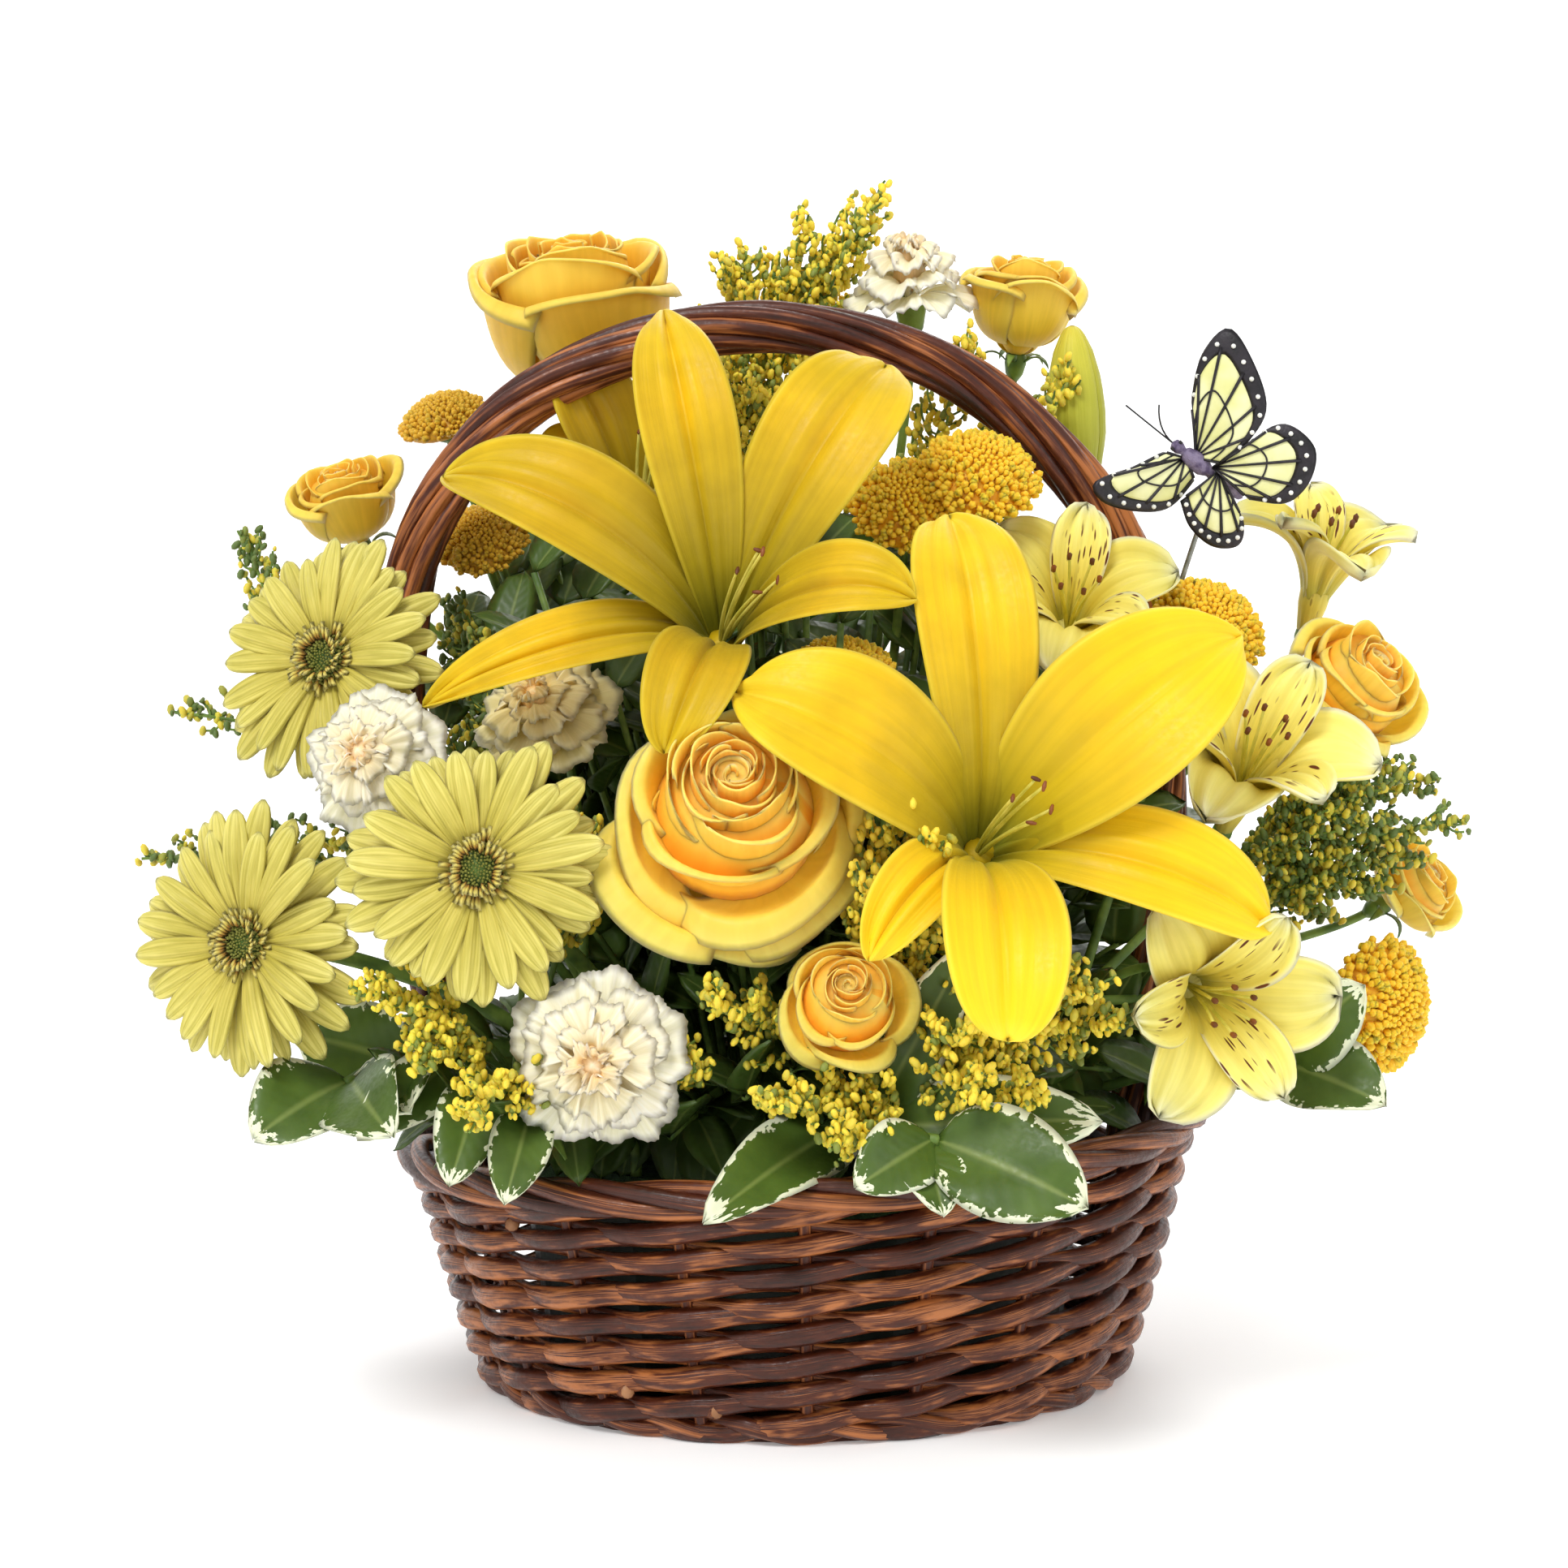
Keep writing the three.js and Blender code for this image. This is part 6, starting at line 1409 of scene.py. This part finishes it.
for number, (node, plan) in enumerate(goldenrods.items()):
    hand(makeGoldenrod(node + "_plumes", plan, 81 + number), "goldenrod", node)
print("goldenrod ready")

# ---- pittosporum ----

pittosporums = {  # each leaf: the place on the path where it grows, tip, half width
    "pittosporum_left": {
        "turn": 2.2, "hole": (-66, -14), "path": [(-92, -30, 96), (-122, -50, 106), (-134, -76, 104)], "leaves": [
            (2, (-158, -100, 92), 14), (1, (-112, -106, 100), 13), (2, (-116, -122, 96), 13),
            (1, (-152, -34, 112), 13)]},
    "pittosporum_front": {
        "turn": 2.4, "hole": (14, -38), "path": [(14, -84, 92), (20, -112, 94), (38, -128, 94)], "leaves": [
            (2, (78, -148, 78), 15), (2, (14, -144, 84), 10), (1, (84, -124, 98), 12), (0, (-28, -150, 76), 11),
            (2, (38, -146, 76), 9), (1, (48, -112, 148), 9)]},
    "pittosporum_right": {
        "turn": 1.8, "hole": (64, -26), "path": [(100, -40, 96), (126, -56, 100), (140, -60, 104)], "leaves": [
            (2, (170, -84, 94), 13), (2, (166, -70, 128), 12), (1, (150, -30, 110), 13), (1, (118, -96, 104), 12)]},
    "pittosporum_back": {
        "turn": 0.8, "hole": (16, 60), "path": [(20, 86, 120), (16, 104, 170), (6, 96, 230)], "leaves": [
            (0, (62, 118, 118), 14), (0, (-24, 124, 122), 14), (1, (58, 110, 190), 14), (1, (-28, 112, 196), 14),
            (2, (34, 92, 262), 13), (2, (-26, 88, 256), 13)]}}
twigStem = {"mouth": 77, "foot": 45, "radius": 1.7, "leafSize": 1.12, "leafLift": 0.26}


def leafSheet(shape, foot, tip, half, lift, facing, seed, rows=18, columns=10, finish=0, thickness=0.8):
    rng = random.Random(seed)
    foot, tip = Vector(foot), Vector(tip)
    heading = tip - foot
    length = heading.length
    side = heading.cross(Vector(facing)).normalized()
    top = side.cross(heading).normalized()
    u, v = sheetGrid(rows, columns)
    outline = half * oval(u)
    wave = 0.09 * half * np.sin(7.5 * u + 3 * v + rng.uniform(0, 6)) * np.abs(v)
    height = lift * length * u * (1 - u) + 0.24 * np.abs(v) * outline + wave
    points = np.array(foot) + (u * length)[..., None] * np.array(heading.normalized())
    points = points + (outline * v)[..., None] * np.array(side) + height[..., None] * np.array(top)
    addSheet(shape, points, thickness, rng.uniform(0.1, 0.9), finish=finish)


def makePittosporum(name, plan, seed):
    shape = newShape()
    path = [Vector(p) for p in ((*plan["hole"], twigStem["foot"]), (*plan["hole"], twigStem["mouth"]), *plan["path"])]
    addTube(shape, smoothPath(path), twigStem["radius"], 8, finish=1)
    for number, (index, tip, half) in enumerate(plan["leaves"]):
        node, before = path[index + 2], path[index + 1]
        foot = node.lerp(before, 0.05 + 0.045 * number)
        outward = Vector((tip[0], tip[1], 0)).normalized()
        if tip[1] < 0:  # the leaves in front turn their faces to the front
            outward = Vector((0.3 * outward.x, -1, 0))
        leafSheet(shape, foot, tip, half * twigStem["leafSize"], twigStem["leafLift"],
                  outward * plan["turn"] + up, seed + number)
    return finishShape(shape, name, ["variegated", "stem"])


for number, (node, plan) in enumerate(pittosporums.items()):
    hand(makePittosporum(node + "_leaves", plan, 91 + 10 * number), "leaf", node)
print("pittosporum ready")

# ---- greens that fill the heart of the arrangement ----

greens = {
    "sprays": 130, "leaves": 7, "half": 9, "length": 29, "seed": 7, "rimSprays": 40, "twig": 1.1,
    "heap": {"wide": 124, "deep": 72, "low": 92, "high": 160, "loose": 24}, "mouth": {"height": 70.0, "rise": 34},
    "rim": {"wide": 105, "back": 106, "front": 96, "low": 88, "loose": 26}, "more": [
    (-84, 40, 226), (-100, 38, 214), (-66, 40, 236), (-112, 20, 200), (-52, 46, 244), (84, 34, 208), (62, 40, 232),
    (-24, 72, 206), (26, 78, 196), (0, 88, 166), (-58, 78, 156), (62, 76, 156), (88, 60, 136), (-90, 58, 132),
    (24, 92, 132), (-30, 96, 126), (-96, -92, 96), (-84, -98, 92), (-110, -70, 96), (-94, 38, 244), (-76, 40, 250),
    (-92, 24, 190), (100, 14, 150), (108, -6, 138), (112, 24, 156), (98, 30, 176), (0, 60, 262), (28, 58, 256),
    (32, 48, 212), (18, 54, 204), (-106, 30, 226), (-74, 34, 238), (-60, 30, 226), (-84, 30, 240)],
    "rimLeaves": [  # foot, tip, half width
        ((-92, -92, 108), (-100, -124, 82), 10), ((-78, -102, 100), (-84, -132, 78), 9),
        ((-100, -80, 112), (-128, -104, 92), 10)]}


def makeGreens():
    rng = random.Random(greens["seed"])
    heap, rim, root = greens["heap"], greens["rim"], greens["mouth"]
    shape = newShape()
    for k in range(greens["sprays"] + len(greens["more"])):
        angle = k * golden
        share = (k + 0.5) / greens["sprays"]
        out = math.sqrt(min(share, 1.0))
        height = heap["low"] + heap["high"] * (1 - out ** 5) * rng.uniform(0.5, 1.0) + heap["loose"] * rng.random()
        end = np.array([out * heap["wide"] * math.cos(angle) + 2, out * heap["deep"] * math.sin(angle) - 2, height])
        if k >= greens["sprays"]:
            end = np.array(greens["more"][k - greens["sprays"]], float)
        elif k >= greens["sprays"] - greens["rimSprays"]:  # a low ring of leaves over the rim
            deep = rim["back"] if math.sin(angle) > 0 else rim["front"]
            height = rim["low"] + rim["loose"] * rng.random()
            end = np.array([rim["wide"] * math.cos(angle), deep * math.sin(angle), height])
        mouth = np.array([end[0] * 0.44, end[1] * 0.5, root["height"]])
        line = bezier([mouth, mouth + [0, 0, root["rise"]], end], 12)
        addTube(shape, line, greens["twig"], 6, finish=1)
        heading = line[-1] - line[-3]
        heading /= np.linalg.norm(heading)
        for leaf in range(greens["leaves"]):
            at = line[-1 - leaf] if leaf else line[-1]
            turn = placeMatrix((0, 0, 0), heading, leaf * 2.4 + rng.random())
            lean = Vector((1, 0, 0.55 + 0.4 * rng.random())).normalized()
            tip = Vector(at) + turn.to_3x3() @ lean * greens["length"] * rng.uniform(0.7, 1.1)
            leafSheet(shape, at, tip, greens["half"] * rng.uniform(0.7, 1.15), 0.2, up + Vector((0, -0.5, 0)),
                      200 + 10 * k + leaf, 8, 4, thickness=0.5)
    for number, (foot, tip, half) in enumerate(greens["rimLeaves"]):
        leafSheet(shape, foot, tip, half, 0.24, (0.1, -1, 0.5), 400 + number, finish=2)
    return finishShape(shape, "heart_greens", ["greenLeaf", "stem", "variegated"])


hand(makeGreens(), "leaf")
print("greens ready")

# ---- butterfly ----

butterfly = {
    "head": (117, -22, 286), "tail": (136, -17, 271), "border": 0.2, "veins": 6, "columns": 36, "front": -19.5,
    "wings": [
        {"root": (122, -20, 283), "sweep": -0.35, "outline": [
            (121, 300), (124, 314), (132, 322), (139, 312), (143, 298), (138, 288), (130, 281)]},
        {"root": (127, -20, 280), "sweep": -0.3, "outline": [
            (138, 287), (148, 293), (157, 286), (156, 276), (149, 269), (138, 270)]},
        {"root": (119, -20, 283), "sweep": 0.5, "outline": [
            (112, 285), (101, 280), (90, 276), (93, 270), (104, 267), (114, 268), (122, 276)]},
        {"root": (129, -20, 279), "sweep": 0.25, "outline": [
            (117, 270), (120, 262), (127, 256), (135, 256), (137, 262), (133, 270)]}]}
pick = {"radius": 0.8, "path": [(52, 8, 45), (52, 8, 80), (100, -14, 190), (120, -12, 250), (128, -15, 274)]}


def wingSurface(wing, low, high, y, rows=10):  # between two shares of the way to the edge
    root, columns = wing["root"], butterfly["columns"]
    edge = smoothPath([(x, z, 0) for x, z in wing["outline"]], 8)[:, :2]
    lengths = np.concatenate([[0], np.cumsum(np.linalg.norm(np.diff(edge, axis=0), axis=1))])
    wanted = np.linspace(0, lengths[-1], columns + 1)
    edge = np.stack([np.interp(wanted, lengths, edge[:, 0]), np.interp(wanted, lengths, edge[:, 1])], axis=-1)
    share = np.linspace(low, high, rows + 1)[:, None, None]
    flat = np.array([root[0], root[2]]) * (1 - share) + edge * share
    bow = 2.2 * np.sin(math.pi * np.linspace(low, high, rows + 1))[:, None]
    depth = y + wing["sweep"] * (flat[..., 0] - root[0]) - bow
    return np.stack([flat[..., 0], depth, flat[..., 1]], axis=-1)


def makeButterfly():
    shape = newShape()
    for number, wing in enumerate(butterfly["wings"]):
        y = butterfly["front"] - 0.8 * (number % 2)
        inner = 1 - butterfly["border"]
        addSheet(shape, wingSurface(wing, 0.02, inner + 0.04, y), 0.45, 0.5)
        addSheet(shape, wingSurface(wing, inner, 1.0, y - 0.1, 5), 0.8, 0.5, finish=1)
        surface = wingSurface(wing, 0.02, inner + 0.05, y - 0.4)
        for k in range(butterfly["veins"] + 1):
            column = round(k * butterfly["columns"] / butterfly["veins"])
            line = surface[:, column] + [0, -0.1, 0]
            addTube(shape, line, np.linspace(0.3, 0.55, len(line)), 5, finish=1)
        cell = surface[6, :] + [0, -0.1, 0]
        addTube(shape, cell, 0.3, 5, finish=1)
        dots = wingSurface(wing, 0.9, 0.95, y - 0.7, 1)
        for k in range(2, 35, 3):
            for side in (-1, 1):  # a white dot on both faces of the border
                at = dots[0, k] + [0, 0.6 + 0.75 * side, 0]
                profile = [(0.01, -0.3), (0.75, -0.2), (0.75, 0.2), (0.01, 0.3)]
                turnedShape(shape, profile, 7, placeMatrix(at, (0, -1, 0)), finish=2)
    head, tail = Vector(butterfly["head"]), Vector(butterfly["tail"])
    heading = (head - tail).normalized()
    place = placeMatrix(tail, heading)
    length = (head - tail).length
    body = [(0.01, -1), (1.2, 0), (2.1, 4), (2.3, 9), (1.6, 12.5), (2.9, 15), (3.1, 18.5), (2.2, length - 2.6),
            (1.2, length - 1.8), (2.0, length), (1.8, length + 2), (0.01, length + 3)]
    turnedShape(shape, body, 14, place, finish=3)
    for side in (-1, 1):
        start = head + heading * 2
        end = start + heading * 13 + Vector((side * 5, -2, 4))
        addTube(shape, bezier([start, start + heading * 7, end], 8), 0.28, 5, finish=1)
        eye = head + heading * 1.2 + Vector((side * 1.2, -1.2, side * 0.9))
        turnedShape(shape, [(0.01, -0.8), (0.8, 0), (0.01, 0.8)], 8, placeMatrix(eye), finish=1)
    return finishShape(shape, "butterfly_body_and_wings", ["wingPale", "wingDark", "wingDot", "insect"])


def makeWire():
    shape = newShape()
    addTube(shape, smoothPath(pick["path"], 10), pick["radius"], 8)
    return finishShape(shape, "butterfly_pick", ["wire"])


hand(makeButterfly(), "butterfly", "butterfly")
hand(makeWire(), "wire", "butterfly_wire")
print("butterfly ready")

# ---- the CAD pieces that stay, under the flowers ----

for node, finish in (("basket_base", "willow"), ("liner_bowl", "liner"), ("foam", "foam")):
    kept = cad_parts[node]
    kept.data.materials.clear()
    kept.data.materials.append(finishes[finish])

# ---- floor, backdrop and light ----

studio = {
    "floor": srgb(246, 246, 246), "glow": 0.22, "sky": 0.62, "aim": (0, 0, 0.18),
    "key": {"at": (-0.8, -1.5, 2.2), "size": 1.2, "power": 42},
    "fill": {"at": (1.7, -1.2, 0.9), "size": 1.6, "power": 8},
    "rim": {"at": (0.5, 1.5, 1.6), "size": 1.2, "power": 12}}


def makeFloor():  # a floor that curves up behind the object, with no corner
    rows = [(-3.0, 0.0), (0.9, 0.0)]
    rows += [(0.9 + 0.9 * math.sin(a), 0.9 - 0.9 * math.cos(a)) for a in np.linspace(0.1, math.pi / 2, 12)]
    rows += [(1.8, 3.5)]
    points = [(x, y, z) for y, z in rows for x in (-4.0, 4.0)]
    faces = [(2 * i, 2 * i + 1, 2 * i + 3, 2 * i + 2) for i in range(len(rows) - 1)]
    mesh = bpy.data.meshes.new("floor")
    mesh.from_pydata(points, [], faces)
    mesh.polygons.foreach_set("use_smooth", [True] * len(faces))
    material, tree, skin = newMaterial("floor")
    skin.inputs["Base Color"].default_value = studio["floor"]
    skin.inputs["Roughness"].default_value = 0.7
    skin.inputs["Specular IOR Level"].default_value = 0.15
    skin.inputs["Emission Color"].default_value = (1, 1, 1, 1)
    skin.inputs["Emission Strength"].default_value = studio["glow"]
    mesh.materials.append(material)
    made = newObject("floor", mesh)


def makeLight(name, plan):
    data = bpy.data.lights.new(name, "AREA")
    data.shape, data.size, data.energy = "DISK", plan["size"], plan["power"]
    light = newObject(name, data)
    light.location = plan["at"]
    light.rotation_mode = "QUATERNION"
    light.rotation_quaternion = (Vector(studio["aim"]) - Vector(plan["at"])).to_track_quat("-Z", "Y")


makeFloor()
for name in ("key", "fill", "rim"):
    makeLight(name, studio[name])
world = bpy.data.worlds.new("studio")
world.use_nodes = True
world.node_tree.nodes["Background"].inputs["Color"].default_value = (1, 1, 1, 1)
world.node_tree.nodes["Background"].inputs["Strength"].default_value = studio["sky"]
bpy.context.scene.world = world
bpy.context.scene.view_settings.view_transform = "Standard"
print("studio ready")
